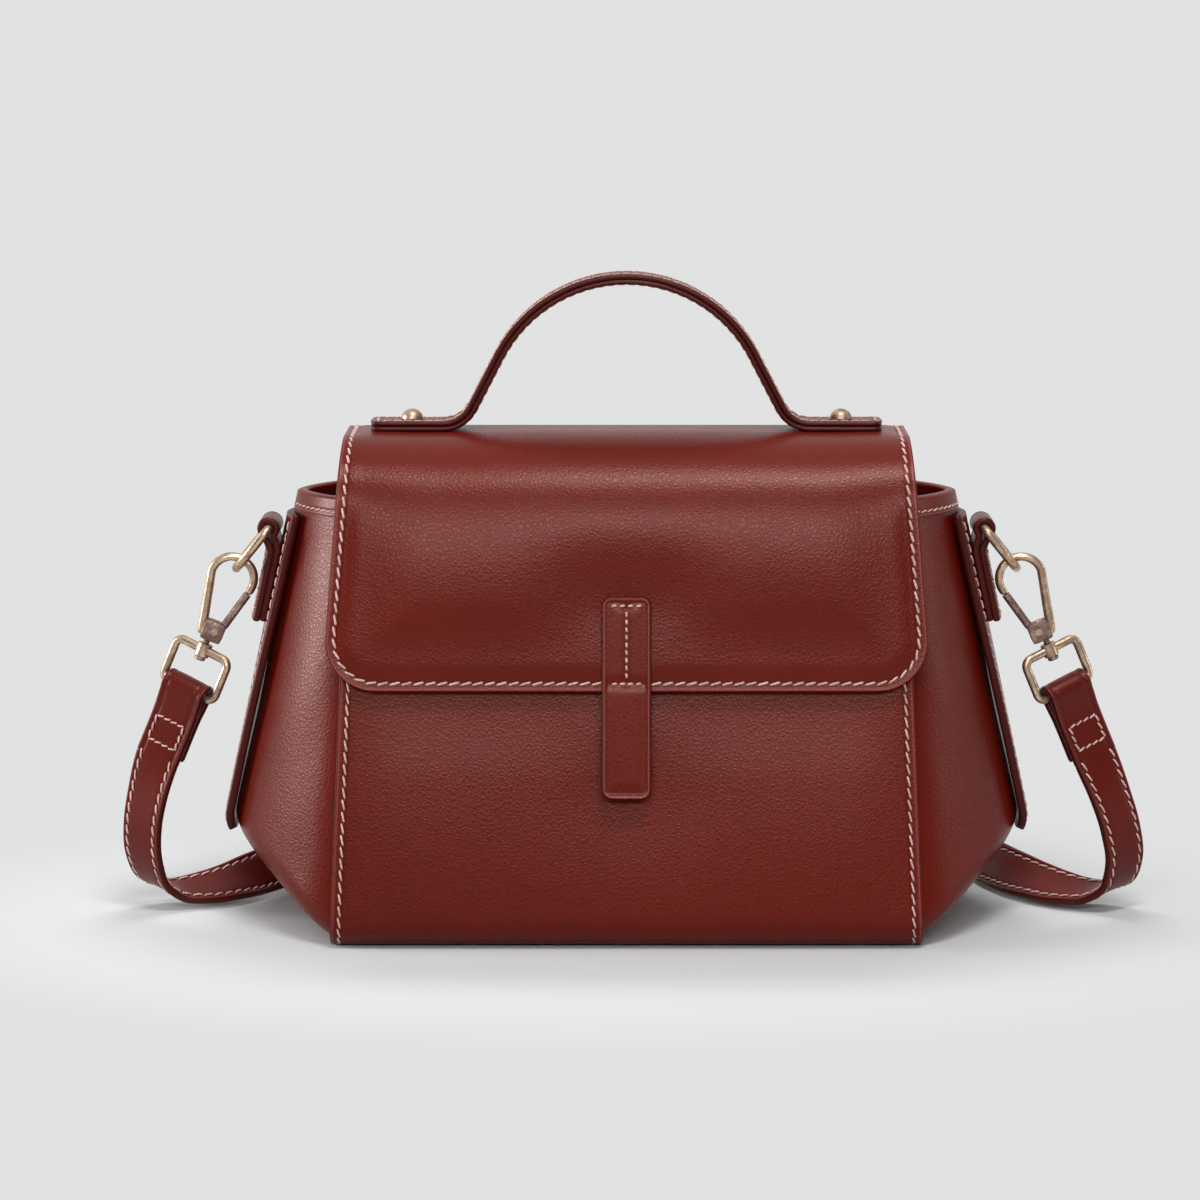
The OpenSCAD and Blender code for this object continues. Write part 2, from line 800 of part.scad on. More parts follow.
module strap_end() {
    in_y = fold_gap / 2;
    out_y = in_y + strap_t;
    color("#6a2019")
    in_ring()
    rotate([90, 0, 90])
        linear_extrude(strap_w, center = true)
            difference() {
                union() {
                    translate([0, fold_z])
                        circle(fold_r);
                    polygon([
                        [-fold_r * cos(30), fold_z - fold_r * sin(30)],
                        [fold_r * cos(30), fold_z - fold_r * sin(30)],
                        [out_y, fold_z - fold_taper],
                        [out_y, fold_z - fold_len],
                        [in_y, fold_z - fold_len],
                        [in_y, fold_z - fold_taper],
                        [-in_y, fold_z - fold_taper],
                        [-in_y, strap_on_z],
                        [-out_y, strap_on_z],
                        [-out_y, fold_z - fold_taper]
                    ]);
                }
                translate([0, fold_z])
                    circle(wire_d / 2 + loose);
            }
}

module strap_end_right() {
    strap_end();
}

module strap_end_left() {
    left_of_right() strap_end();
}

/* The free strap: hanging on both sides, then on edge along the floor behind the bag */

// Where the strap leaves its folded end, worked out as on the right side
function turn_z(v, a) = [v[0] * cos(a) - v[1] * sin(a), v[0] * sin(a) + v[1] * cos(a), v[2]];
function turn_y(v, a) = [v[0] * cos(a) + v[2] * sin(a), v[1], -v[0] * sin(a) + v[2] * cos(a)];
function from_ring(v) = [hook_x, 0, hook_z] + turn_y(turn_z(v, ring_turn), -hook_tilt);
strap_from = from_ring([0, -(fold_gap + strap_t) / 2, strap_on_z]);
strap_across = from_ring([-1, 0, 0]) - from_ring([0, 0, 0]);
strap_down = from_ring([0, 0, -1]) - from_ring([0, 0, 0]);
function to_left(v) = [-v[0], v[1], v[2]];

// Each stop holds the middle of the strap and the direction from its outer to its front edge
hang_left_stops = [
    [[-179.4, -1, 46], [0.84, -0.53, -0.12]],
    [[-181.7, -0.5, 33], [0.81, -0.58, 0]],
    [[-181.7, 1, 21.5], [0.78, -0.62, 0]],
    [[-178.6, 4, 11.8], [0.7, -0.7, -0.06]],
    [[-171, 7.5, 7], [0.5, -0.84, -0.2]],
    [[-160, 11, 6.6], [0.3, -0.88, -0.42]],
    [[-149, 18.5, 7.6], [0.42, -0.7, -0.6]],
    [[-140, 29, 8.6], [0.5, -0.33, -0.8]]
];
hang_right_stops = [
    [[181, -2, 46], [-0.86, -0.5, -0.1]],
    [[185.4, -2.5, 32], [-0.84, -0.54, 0]],
    [[187, -1.5, 20], [-0.8, -0.6, 0]],
    [[184.5, 1, 10.8], [-0.74, -0.67, -0.06]],
    [[177, 5, 6.8], [-0.55, -0.82, -0.2]],
    [[166, 9.5, 6.6], [-0.3, -0.88, -0.42]],
    [[155, 20, 7.6], [-0.42, -0.7, -0.6]],
    [[146, 33, 8.6], [-0.5, -0.33, -0.8]]
];
rear_stops = [
    [[-140, 29, 8.6], [0.5, -0.33, -0.8]],
    [[-130, 43, 9.2], [0.4, -0.27, -0.88]],
    [[-119, 57, 9.5], [0.2, -0.15, -0.97]],
    [[-105, 69, 9.6], [0, 0, -1]],
    [[-84, 78, 9.6], [0, 0, -1]],
    [[-50, 80, 9.6], [0, 0, -1]],
    [[0, 80, 9.6], [0, 0, -1]],
    [[50, 80, 9.6], [0, 0, -1]],
    [[76, 80, 9.6], [0, 0, -1]],
    [[84.5, 83.5, 9.6], [0, 0, -1]],
    [[88, 92, 9.6], [0, 0, -1]],
    [[84.5, 100.5, 9.6], [0, 0, -1]],
    [[76, 104, 9.6], [0, 0, -1]],
    [[40, 104, 9.6], [0, 0, -1]],
    [[0, 104, 9.6], [0, 0, -1]],
    [[-40, 104, 9.6], [0, 0, -1]],
    [[-76, 104, 9.6], [0, 0, -1]],
    [[-84.5, 107.5, 9.6], [0, 0, -1]],
    [[-88, 116, 9.6], [0, 0, -1]],
    [[-84.5, 124.5, 9.6], [0, 0, -1]],
    [[-76, 128, 9.6], [0, 0, -1]],
    [[-40, 128, 9.6], [0, 0, -1]],
    [[0, 128, 9.6], [0, 0, -1]],
    [[40, 128, 9.6], [0, 0, -1]],
    [[74, 127, 9.6], [0, 0, -1]],
    [[96, 118, 9.6], [0, 0, -1]],
    [[112, 103, 9.6], [0, 0, -1]],
    [[124, 84, 9.6], [0, 0, -1]],
    [[132, 66, 9.5], [-0.15, -0.1, -0.98]],
    [[139, 48, 9.2], [-0.35, -0.2, -0.9]],
    [[146, 33, 8.6], [-0.5, -0.33, -0.8]]
];
edge_round = 0.5;

// The stops are laid out for a strap that starts at this height; above the floor bend they stretch with it
drawn_from_z = 60.1;
floor_bend_z = 12;
function hanging(stops) = [for (s = stops) let (
        p = s[0],
        rise = max(0, p[2] - floor_bend_z) * ((strap_from[2] - floor_bend_z) / (drawn_from_z - floor_bend_z) - 1))
    [[p[0], p[1], p[2] + rise], s[1]]];

function way(stops, i) = unit(
    i == 0 ? stops[1][0] - stops[0][0]
    : i == len(stops) - 1 ? stops[i][0] - stops[i - 1][0]
    : unit(stops[i + 1][0] - stops[i][0]) + unit(stops[i][0] - stops[i - 1][0]));
// One ring of the strap: a flat rectangle with its corners taken off
function strap_ring(centre, along, across) = let (
        w = unit(across - (across * along) * along),
        n = cross(along, w),
        a = strap_w / 2,
        b = strap_t / 2,
        c = edge_round)
    [for (p = [[a - c, b], [a, b - c], [a, -b + c], [a - c, -b], [-a + c, -b], [-a, -b + c], [-a, b - c], [-a + c, b]])
        centre + p[0] * w + p[1] * n];
function strap_rings(stops, first, last) =
    [for (i = [0 : len(stops) - 1])
        strap_ring(stops[i][0], i == 0 ? first : i == len(stops) - 1 ? last : way(stops, i), stops[i][1])];

// The way of the strap where its hanging stretches meet the rear stretch
left_meet = unit([9.5, 12.3, 0.8]);
right_meet = unit([-8, 14, 0.8]);

module strap_hang_right() {
    stops = concat([[strap_from, strap_across]], hanging(hang_right_stops));
    color("#6a2019")
    tube(strap_rings(stops, strap_down, right_meet));
}

module strap_hang_left() {
    stops = concat([[to_left(strap_from), to_left(strap_across)]], hanging(hang_left_stops));
    color("#6a2019")
    tube(strap_rings(stops, to_left(strap_down), left_meet));
}

module strap_rear() {
    color("#6a2019")
    tube(strap_rings(rear_stops, left_meet, -right_meet));
}

/* The flap: outer leather, stiffener and lining, over the mouth and down the front */

// Gap between the flap and the front panel
flap_gap = 0.6;
// Gap between the flap's fold and the back panel's top edge
fold_rise = 0.35;
hinge_y = wall_y(back_z, wrap_t / 2);
hinge_z = back_z + fold_rise + flap_t / 2;
hinge_r = flap_t / 2 - fit;
front_off = -(flap_t + flap_gap);
shoulder_z = crown_z - shoulder_r;
shoulder_y = -wall_y(shoulder_z, front_off + shoulder_r);
rear_r = crown_z - hinge_z;
rear_y = hinge_y + flap_t / 2 - rear_r;
shoulder_steps = 9;
rear_steps = 6;
layer_gap = 0.1;
lining_layer_t = 0.8;
// Angle on the rear curve at which the inner layers end
inner_end = 25;
// Distance of the inner layers from the flap's edge
stiffener_inset = 5;
flap_lining_inset = 0.8;

function flap_line(off, end) = concat(
    [[-wall_y(flap_low_z - over, front_off + off), flap_low_z - over]],
    arc([shoulder_y, shoulder_z], shoulder_r - off, 180 - lean, 90, shoulder_steps),
    arc([rear_y, hinge_z], rear_r - off, 90, end, rear_steps));

module flap_front_view(inset) {
    r = flap_corner - inset;
    corner_x = flap_low_w / 2 - flap_corner;
    corner_z = flap_low_z + flap_corner;
    half = concat(
        arc([corner_x, corner_z], r, -90, 0, bend_steps),
        [[flap_top_w / 2 - inset, crown_z], [flap_top_w / 2 - inset, crown_z + over]]);
    polygon(concat(half, mirrored(half)));
}

module flap_layer(from, to, end, inset) {
    intersection() {
        along_x(flap_low_w + over)
            polygon(concat(flap_line(from, end), reversed(flap_line(to, end))));
        along_y(2 * base_d)
            flap_front_view(inset);
    }
}

// Middle of the handle, front to back
handle_y = (shoulder_y + rear_y) / 2;

module rivet_bores(d) {
    for (side = [-1, 1])
        translate([side * rivet_span / 2, handle_y, crown_z - flap_t - over])
            cylinder(d = d, h = flap_t + 2 * over + 2 * handle_t);
}

module flap() {
    color("#6e231a")
    difference() {
        union() {
            flap_layer(0, flap_leather_t, 0, 0);
            translate([0, hinge_y, hinge_z])
                rotate([0, 90, 0])
                    cylinder(r = hinge_r, h = flap_top_w, center = true);
        }
        rivet_bores(rivet_shank_d + run);
    }
}

module flap_stiffener() {
    color("#8f7f6a")
    difference() {
        flap_layer(flap_leather_t + layer_gap, flap_t - lining_layer_t - layer_gap, inner_end, stiffener_inset);
        rivet_bores(rivet_shank_d + run);
    }
}

module flap_lining() {
    color("#4a1712")
    difference() {
        flap_layer(flap_t - lining_layer_t, flap_t, inner_end, flap_lining_inset);
        rivet_bores(rivet_shank_d + run);
    }
}

/* The handle: two layers of leather, arched, with flat riveted feet */

foot_top_z = crown_z + 2 * handle_t + 2 * layer_gap;
arch_z = handle_z - arch_r;
arch_end = [arch_r * sin(handle_slope), arch_z + arch_r * cos(handle_slope)];
foot_x = arch_end[0] + (foot_r - (foot_top_z + foot_r - arch_end[1]) * cos(handle_slope)) / sin(handle_slope);
foot_corner = 2.5;

function handle_half(off) = concat(
    [[feet_span / 2, foot_top_z - off]],
    arc([foot_x, foot_top_z + foot_r], foot_r + off, 270, 270 - handle_slope, bend_steps),
    arc([0, arch_z], arch_r - off, 90 - handle_slope, 90, 2 * bend_steps));
function without_last(list) = [for (k = [0 : len(list) - 2]) list[k]];
function handle_line(off) = concat(handle_half(off), mirrored(without_last(handle_half(off))));

module handle_plan() {
    x = feet_span / 2 - foot_corner;
    y = handle_w / 2 - foot_corner;
    polygon(concat(
        arc([x, y], foot_corner, 0, 90, bend_steps),
        arc([-x, y], foot_corner, 90, 180, bend_steps),
        arc([-x, -y], foot_corner, 180, 270, bend_steps),
        arc([x, -y], foot_corner, 270, 360, bend_steps)));
}

module handle_layer(from, to) {
    difference() {
        intersection() {
            translate([0, handle_y, 0])
                along_y(handle_w + over)
                    polygon(concat(handle_line(from), reversed(handle_line(to))));
            translate([0, handle_y, crown_z - over])
                linear_extrude(handle_z - crown_z + 2 * over)
                    handle_plan();
        }
        rivet_bores(rivet_shank_d + run);
    }
}

module handle_top() {
    color("#702019")
    handle_layer(0, handle_t);
}

module handle_under() {
    color("#5d1a14")
    handle_layer(handle_t + layer_gap, 2 * handle_t + layer_gap);
}

washer_d = 9;
washer_t = 0.8;
peen_d = 4.8;
peen_h = 0.7;
washer_top = crown_z - flap_t - layer_gap;

module handle_rivets() {
    color("#d8bf8e")
    for (side = [-1, 1])
        translate([side * rivet_span / 2, handle_y, foot_top_z + layer_gap]) {
            intersection() {
                sphere(d = rivet_d);
                cylinder(d = rivet_d + over, h = rivet_d);
            }
            translate([0, 0, washer_top - washer_t - 2 * layer_gap - peen_h - foot_top_z])
                cylinder(d = rivet_shank_d, h = foot_top_z + over - washer_top + washer_t + peen_h);
            translate([0, 0, washer_top - washer_t - 2 * layer_gap - peen_h - foot_top_z])
                cylinder(d = peen_d, h = peen_h);
        }
}

module rivet_washers() {
    color("#b39a68")
    for (side = [-1, 1])
        translate([side * rivet_span / 2, handle_y, washer_top - washer_t])
            difference() {
                cylinder(d = washer_d, h = washer_t);
                translate([0, 0, -over])
                    cylinder(d = rivet_shank_d + run, h = washer_t + 2 * over);
            }
}

/* The closure tab: sewn to the flap above, free below, with the magnetic snap behind it */

closure_corner = 3;
flex_z = flap_low_z + 1;
// Gap between the sewn part and the free part's bend
flex_gap = 0.2;
closure_y = -fit - closure_t / 2;
flex_r = closure_t / 2 - 2 * fit;

// A plate of leather on the front, from local z low to high, with round corners at the far end
module tab_plate(low, high, round_low) {
    r = closure_corner;
    x = closure_w / 2 - r;
    far = round_low ? low + r : high - r;
    near = round_low ? high : low;
    turn = round_low ? 1 : -1;
    translate([0, closure_y, 0])
        along_y(closure_t)
            polygon(concat(
                [[-closure_w / 2, near]],
                arc([-x, far], r, 180, 180 + turn * 90, bend_steps),
                arc([x, far], r, -turn * 90, 0, bend_steps),
                [[closure_w / 2, near]]));
}

module closure_tab_sewn() {
    color("#73251c")
    on_front(flex_z, front_off)
        tab_plate(closure_t / 2 + flex_gap, (closure_top_z - flex_z) / cos(lean), false);
}

stud_post_d = 2.4;
stud_post_h = 1.5;
stud_t = 1.4;
stud_pin_d = 5;
stud_pin_h = 0.8;
socket_t = 2.5;
socket_hole_d = 7.5;
socket_hole_h = 1.2;
// Distance of the snap below the bend, along the front
magnet_drop = (magnet_z - flex_z) / cos(lean);

module closure_tab_free() {
    color("#73251c")
    on_front(flex_z, front_off)
        difference() {
            union() {
                tab_plate((closure_low_z - flex_z) / cos(lean), 0, true);
                translate([0, closure_y, 0])
                    rotate([0, 90, 0])
                        cylinder(r = flex_r, h = closure_w - fit, center = true);
            }
            translate([0, -fit, magnet_drop])
                rotate([90, 0, 0])
                    cylinder(d = stud_post_d + 2 * run, h = 2 * (stud_post_h + run), center = true);
        }
}

module magnet_stud() {
    color("#cdb27c")
    on_front(flex_z, front_off)
        translate([0, 0, magnet_drop])
            rotate([-90, 0, 0]) {
                translate([0, 0, -fit / 2])
                    cylinder(d = magnet_d, h = stud_t);
                translate([0, 0, -fit - stud_post_h])
                    cylinder(d = stud_post_d, h = stud_post_h + fit);
                translate([0, 0, stud_t - fit])
                    cylinder(d = stud_pin_d, h = stud_pin_h + fit / 2);
            }
}

// The socket is riveted through the front panel and its board to the plate inside
post_h = wrap_t + fit + board_t + 2 * fit + 0.5;

module magnet_socket() {
    color("#cdb27c")
    on_front(magnet_z, 0)
        rotate([-90, 0, 0])
            difference() {
                union() {
                    translate([0, 0, -fit - socket_t])
                        cylinder(d = magnet_d, h = socket_t);
                    translate([0, 0, -fit - socket_t / 2])
                        cylinder(d = magnet_post_d, h = socket_t / 2 + fit + post_h);
                }
                translate([0, 0, -fit - socket_t - over])
                    cylinder(d = socket_hole_d, h = socket_hole_h + over);
            }
}

plate_d = 12;
plate_t = 0.4;

module magnet_plate() {
    color("#9c9c98")
    on_front(magnet_z, 0)
        rotate([-90, 0, 0])
            translate([0, 0, wrap_t + fit + board_t + fit])
                difference() {
                    cylinder(d = plate_d, h = plate_t);
                    translate([0, 0, -over])
                        cylinder(d = magnet_post_d + run, h = plate_t + 2 * over);
                }
}

/* Inside: boards between the leather and the lining, and the pocket */

board_low = bend_r + wrap_t + 2 * over;
board_top_drop = 6;
board_inset = gusset_inset + flange_w + 0.5;
lining_off = wrap_t + gusset_t + 3 * fit;

module wall_board(low, high, rear) {
    y0 = wrap_t + fit;
    y1 = wrap_t + fit + board_t;
    side = rear ? 1 : -1;
    intersection() {
        along_x(base_w)
            polygon([
                [side * wall_y(low, y0), low],
                [side * wall_y(high, y0), high],
                [side * wall_y(high, y1), high],
                [side * wall_y(low, y1), low]
            ]);
        along_y(base_d)
            panel_front_view(board_inset);
    }
}

module front_board() {
    color("#9b8c74")
    difference() {
        wall_board(board_low, body_h - board_top_drop, false);
        magnet_bore(run);
    }
}

module back_board() {
    color("#9b8c74")
    wall_board(board_low, back_z - board_top_drop, true);
}

module base_board() {
    color("#9b8c74")
    intersection() {
        translate([-base_w / 2, -bend_y, wrap_t + fit])
            cube([base_w, 2 * bend_y, base_board_t]);
        along_y(base_d)
            panel_front_view(board_inset);
    }
}

// How far the lining stays below the mouth
lining_drop = 1.5;

module lining_body() {
    color("#3b2a26")
    intersection() {
        along_x(base_w)
            polygon(concat(
                wrap_line(lining_off, body_h - lining_drop, back_z - lining_drop),
                reversed(wrap_line(lining_off + lining_t, body_h - lining_drop, back_z - lining_drop))));
        along_y(base_d)
            panel_front_view(gusset_inset + flange_w + fit);
    }
}

pocket_low = 62;
pocket_t = 0.7;
pocket_room = 1.2;
pocket_seam = 5;

module inner_pocket() {
    off = lining_off + lining_t + fit;
    high = pocket_low + pocket_h;
    color("#463430")
    difference() {
        along_x(pocket_w)
            polygon([
                [wall_y(pocket_low, off), pocket_low],
                [wall_y(high, off), high],
                [wall_y(high, off + pocket_room + pocket_t), high],
                [wall_y(pocket_low, off + pocket_room + pocket_t), pocket_low]
            ]);
        along_x(pocket_w - 2 * pocket_seam)
            polygon([
                [wall_y(pocket_low + pocket_seam, off - over), pocket_low + pocket_seam],
                [wall_y(high + over, off - over), high + over],
                [wall_y(high + over, off + pocket_room), high + over],
                [wall_y(pocket_low + pocket_seam, off + pocket_room), pocket_low + pocket_seam]
            ]);
    }
}

wrap_panel();
flap_tail();
gusset_left();
gusset_right();
rim_binding_left();
rim_binding_right();
side_strip_left();
side_strip_right();
ring_tab_left();
ring_tab_right();
dring_left();
dring_right();
hook_left();
hook_right();
gate_left();
gate_right();
gate_rivet_left();
gate_rivet_right();
gate_spring_left();
gate_spring_right();
swivel_ring_left();
swivel_ring_right();
strap_end_left();
strap_end_right();
strap_hang_left();
strap_hang_right();
strap_rear();
flap();
flap_stiffener();
flap_lining();
handle_top();
handle_under();
handle_rivets();
rivet_washers();
closure_tab_sewn();
closure_tab_free();
magnet_stud();
magnet_socket();
magnet_plate();
base_board();
front_board();
back_board();
lining_body();
inner_pocket();
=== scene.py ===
import math

import bpy
import numpy as np
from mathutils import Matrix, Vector


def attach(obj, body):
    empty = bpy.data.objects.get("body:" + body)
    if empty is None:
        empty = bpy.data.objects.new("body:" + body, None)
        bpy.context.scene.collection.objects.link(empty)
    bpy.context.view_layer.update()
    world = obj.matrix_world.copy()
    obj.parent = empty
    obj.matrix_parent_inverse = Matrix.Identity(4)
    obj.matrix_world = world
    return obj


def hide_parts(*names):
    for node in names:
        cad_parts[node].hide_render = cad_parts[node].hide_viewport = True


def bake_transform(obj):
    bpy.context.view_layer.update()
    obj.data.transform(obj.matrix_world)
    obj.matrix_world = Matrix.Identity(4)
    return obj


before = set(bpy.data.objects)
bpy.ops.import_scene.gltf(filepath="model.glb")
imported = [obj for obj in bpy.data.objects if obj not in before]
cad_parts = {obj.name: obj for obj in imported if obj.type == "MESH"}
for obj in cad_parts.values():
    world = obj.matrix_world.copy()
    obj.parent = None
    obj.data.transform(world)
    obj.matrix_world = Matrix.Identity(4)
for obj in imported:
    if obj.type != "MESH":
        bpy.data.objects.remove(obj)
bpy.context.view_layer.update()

# The stand: a plain pale floor that keeps the bag's shadow and fades to the
# pale colour of the backdrop, under five soft lamps and a sky that is brighter
# behind the bag, seen from a little above the bag's middle.


class Shade:
    """One socket of a finish. Arithmetic on it adds a Math node to the same finish."""

    def __init__(self, finish, socket):
        self.finish, self.socket = finish, socket

    def math(self, operation, *values):
        """A Math node on these values."""
        return self.finish.node("ShaderNodeMath", {"operation": operation}, dict(enumerate(values)))

    def __add__(self, other):
        return self.math("ADD", self, other)

    def __radd__(self, other):
        return self.math("ADD", other, self)

    def __sub__(self, other):
        return self.math("SUBTRACT", self, other)

    def __rsub__(self, other):
        return self.math("SUBTRACT", other, self)

    def __mul__(self, other):
        return self.math("MULTIPLY", self, other)

    def __rmul__(self, other):
        return self.math("MULTIPLY", other, self)

    def __abs__(self):
        return self.math("ABSOLUTE", self)

    def larger(self, other):
        """The larger of two values."""
        return self.math("MAXIMUM", self, other)

    def ramp(self, low, high):
        """0 at low, 1 at high and a smooth curve between."""
        return self.finish.node(
            "ShaderNodeMapRange",
            {"interpolation_type": "SMOOTHSTEP"},
            {"Value": self, "From Min": low, "From Max": high},
        )


class Finish:
    """A material, or the sky, and the methods that add nodes to it."""

    def __init__(self, name, kind="materials"):
        self.owner = getattr(bpy.data, kind).new(name)
        self.owner.use_nodes = True
        self.tree = self.owner.node_tree
        self.tree.nodes.clear()

    def node(self, kind, settings=None, inputs=None, output=0):
        """Adds a node: its settings first, then values or links into its sockets; gives one output."""
        node = self.tree.nodes.new(kind)
        for name, value in (settings or {}).items():
            setattr(node, name, value)
        for name, value in (inputs or {}).items():
            if isinstance(value, Shade):
                self.tree.links.new(value.socket, node.inputs[name])
            else:
                node.inputs[name].default_value = value
        return Shade(self, node.outputs[output]) if node.outputs else None

    def place(self):
        """Where a point lies on its object, in metres."""
        return self.node("ShaderNodeTexCoord", output="Object")

    def mix(self, share, first, second, data="RGBA"):
        """First where share is 0 and second where it is 1: colours, or vectors with data VECTOR."""
        a, b, result = (6, 7, 2) if data == "RGBA" else (4, 5, 1)
        return self.node("ShaderNodeMix", {"data_type": data}, {0: share, a: first, b: second}, result)

    def noise(self, place, scale, detail=2.0, roughness=0.5, output=0):
        """Soft noise with scale waves a metre."""
        values = {"Vector": place, "Scale": scale, "Detail": detail, "Roughness": roughness}
        return self.node("ShaderNodeTexNoise", None, values, output)

    def bump(self, height, distance, strength=1.0):
        """A normal from a height of 0 to 1, distance metres deep."""
        values = {"Height": height, "Distance": distance, "Strength": strength}
        return self.node("ShaderNodeBump", None, values)

    def surface(self, shader):
        """The material, with its shader plugged in."""
        self.node("ShaderNodeOutputMaterial", None, {"Surface": shader})
        return self.owner

    def principled(self, **inputs):
        """The finished material: a Principled shader with these inputs, _ standing for a space."""
        values = {name.replace("_", " "): value for name, value in inputs.items()}
        return self.surface(self.node("ShaderNodeBsdfPrincipled", None, values))


PALE, FLOOR_GREY, WHITE = (0.752, 0.758, 0.757, 1.0), (0.505, 0.51, 0.51, 1.0), (1.0, 1.0, 1.0, 1.0)
FLOOR_REACH = 40.0


def floor_finish():
    """Matt grey where the bag stands, and the backdrop's own colour outside an oval round it."""
    finish = Finish("floor")
    stretch = {0: finish.place(), 1: (1.0, 1.5, 1.0)}
    oval = finish.node("ShaderNodeVectorMath", {"operation": "MULTIPLY"}, stretch)
    away = finish.node("ShaderNodeVectorMath", {"operation": "LENGTH"}, {0: oval}, "Value")
    matt = finish.node("ShaderNodeBsdfDiffuse", None, {"Color": FLOOR_GREY})
    plain = finish.node("ShaderNodeEmission", None, {"Color": PALE, "Strength": 1.0})
    shares = {0: away.ramp(0.18, 0.31), 1: matt, 2: plain}
    return finish.surface(finish.node("ShaderNodeMixShader", None, shares))


floor_mesh = bpy.data.meshes.new("floor")
floor_mesh.from_pydata(
    [(x * FLOOR_REACH, y * FLOOR_REACH, 0.0) for x, y in ((-1, -1), (1, -1), (1, 1), (-1, 1))],
    [],
    [(0, 1, 2, 3)],
)
floor = bpy.data.objects.new("floor", floor_mesh)
bpy.context.scene.collection.objects.link(floor)
floor_mesh.materials.append(floor_finish())


def hang_sky():
    """The backdrop's colour to the camera, and white light that grows from 0.05 to 0.5 towards a
    point high behind the bag. Glossy rays see the backdrop where they leave towards that point."""
    sky = Finish("sky", "worlds")
    bpy.context.scene.world = sky.owner
    high_behind = {0: sky.node("ShaderNodeTexCoord", output="Generated"), 1: (0.0, 0.8, 0.6)}
    facing = sky.node("ShaderNodeVectorMath", {"operation": "DOT_PRODUCT"}, high_behind, "Value")
    behind = facing.ramp(-0.35, 0.75)
    camera, glossy, clear = (
        sky.node("ShaderNodeLightPath", output=f"Is {ray} Ray")
        for ray in ("Camera", "Glossy", "Transmission")
    )
    light = sky.node("ShaderNodeBackground", None, {"Color": WHITE, "Strength": behind * 0.45 + 0.05})
    plain = sky.node("ShaderNodeBackground", None, {"Color": PALE})
    shares = {0: camera.larger(clear).larger(glossy * behind), 1: light, 2: plain}
    sky.node("ShaderNodeOutputWorld", None, {"Surface": sky.node("ShaderNodeMixShader", None, shares)})


hang_sky()


def soft_lamp(name, place, aim, width, height, power):
    """A rectangle of light at a place, turned to face a point."""
    data = bpy.data.lights.new(name, "AREA")
    data.shape = "RECTANGLE"
    data.size, data.size_y, data.energy = width, height, power
    lamp = bpy.data.objects.new(name, data)
    lamp.location = place
    lamp.rotation_euler = (Vector(aim) - Vector(place)).to_track_quat("-Z", "Y").to_euler()
    lamp.visible_camera = False
    bpy.context.scene.collection.objects.link(lamp)
    return lamp


soft_lamp("key", (0.15, -0.6, 1.45), (0, 0, 0.12), 0.6, 0.25, 13.5)
soft_lamp("front", (0.0, -1.25, 0.69), (0, 0, 0.14), 1.0, 0.2, 10.5)
soft_lamp("left", (-1.1, -0.03, 0.34), (0, 0, 0.1), 0.4, 0.3, 9.0)
soft_lamp("right", (1.15, -0.1, 0.3), (0, 0, 0.1), 0.2, 0.4, 1.0)
soft_lamp("top", (0.0, 0.46, 1.25), (0, 0, 0.1), 0.7, 0.2, 7.0).visible_glossy = False

CAMERA_PITCH = math.radians(9.27)
FOCAL_PIXELS, FRAME_PIXELS, MIDDLE_PIXEL, SENSOR_MM = 4020, 1200, 626.5, 36.0
camera_data = bpy.data.cameras.new("camera")
camera_data.sensor_width = SENSOR_MM
camera_data.lens = SENSOR_MM * FOCAL_PIXELS / FRAME_PIXELS
camera_data.shift_x = (FRAME_PIXELS / 2 - MIDDLE_PIXEL) / FRAME_PIXELS
camera = bpy.data.objects.new("camera", camera_data)
camera.location = (0.0, -1.477, 0.360)
camera.rotation_euler = (math.pi / 2 - CAMERA_PITCH, 0.0, 0.0)
bpy.context.scene.collection.objects.link(camera)
bpy.context.scene.camera = camera
bpy.context.scene.view_settings.view_transform = "Standard"

# The shoulder strap: one flat length of bridle leather with painted edges and
# a row of pale thread along each edge. Both ends hang from the hooks, and the
# long middle stands on edge behind the bag, folded to and fro.

MM = 0.001
INLAND = 50.0  # stands for a distance from the cut edge that no seam or edge colour reaches


def unit(v):
    """Each vector over its length."""
    return v / np.maximum(np.linalg.norm(v, axis=-1, keepdims=True), 1e-12)


def smooth(x, low=0.0, high=1.0):
    """0 at low, 1 at high, and 3t^2 - 2t^3 between."""
    t = np.clip((x - low) / (high - low), 0, 1)
    return t * t * (3 - 2 * t)


def seam_dip(edge, depth, at=2.6, wide=1.1):
    """How deep a seam presses the leather: depth * exp(-((edge - at) / wide)^2)."""
    return depth * np.exp(-(((edge - at) / wide) ** 2))


def run_along(line):
    """The distance along a line of points, from its start to each point."""
    return np.concatenate([[0], np.cumsum(np.linalg.norm(np.diff(line, axis=0), axis=1))])


def read_at(places, run, line):
    """The columns of a line, read at distances along it."""
    return np.stack([np.interp(places, run, column) for column in line.T], 1)


def faced_out(points, quads, triangles):
    """The faces, turned over if the closed shape's signed volume is below zero."""
    a, b, c, d = (points[quads[:, i]] for i in range(4))
    volume = (np.cross(a, b) * c).sum() + (np.cross(a, c) * d).sum()
    if len(triangles):
        a, b, c = (points[triangles[:, i]] for i in range(3))
        volume += (np.cross(a, b) * c).sum()
    return (quads, triangles) if volume > 0 else (quads[:, ::-1], triangles[:, ::-1])


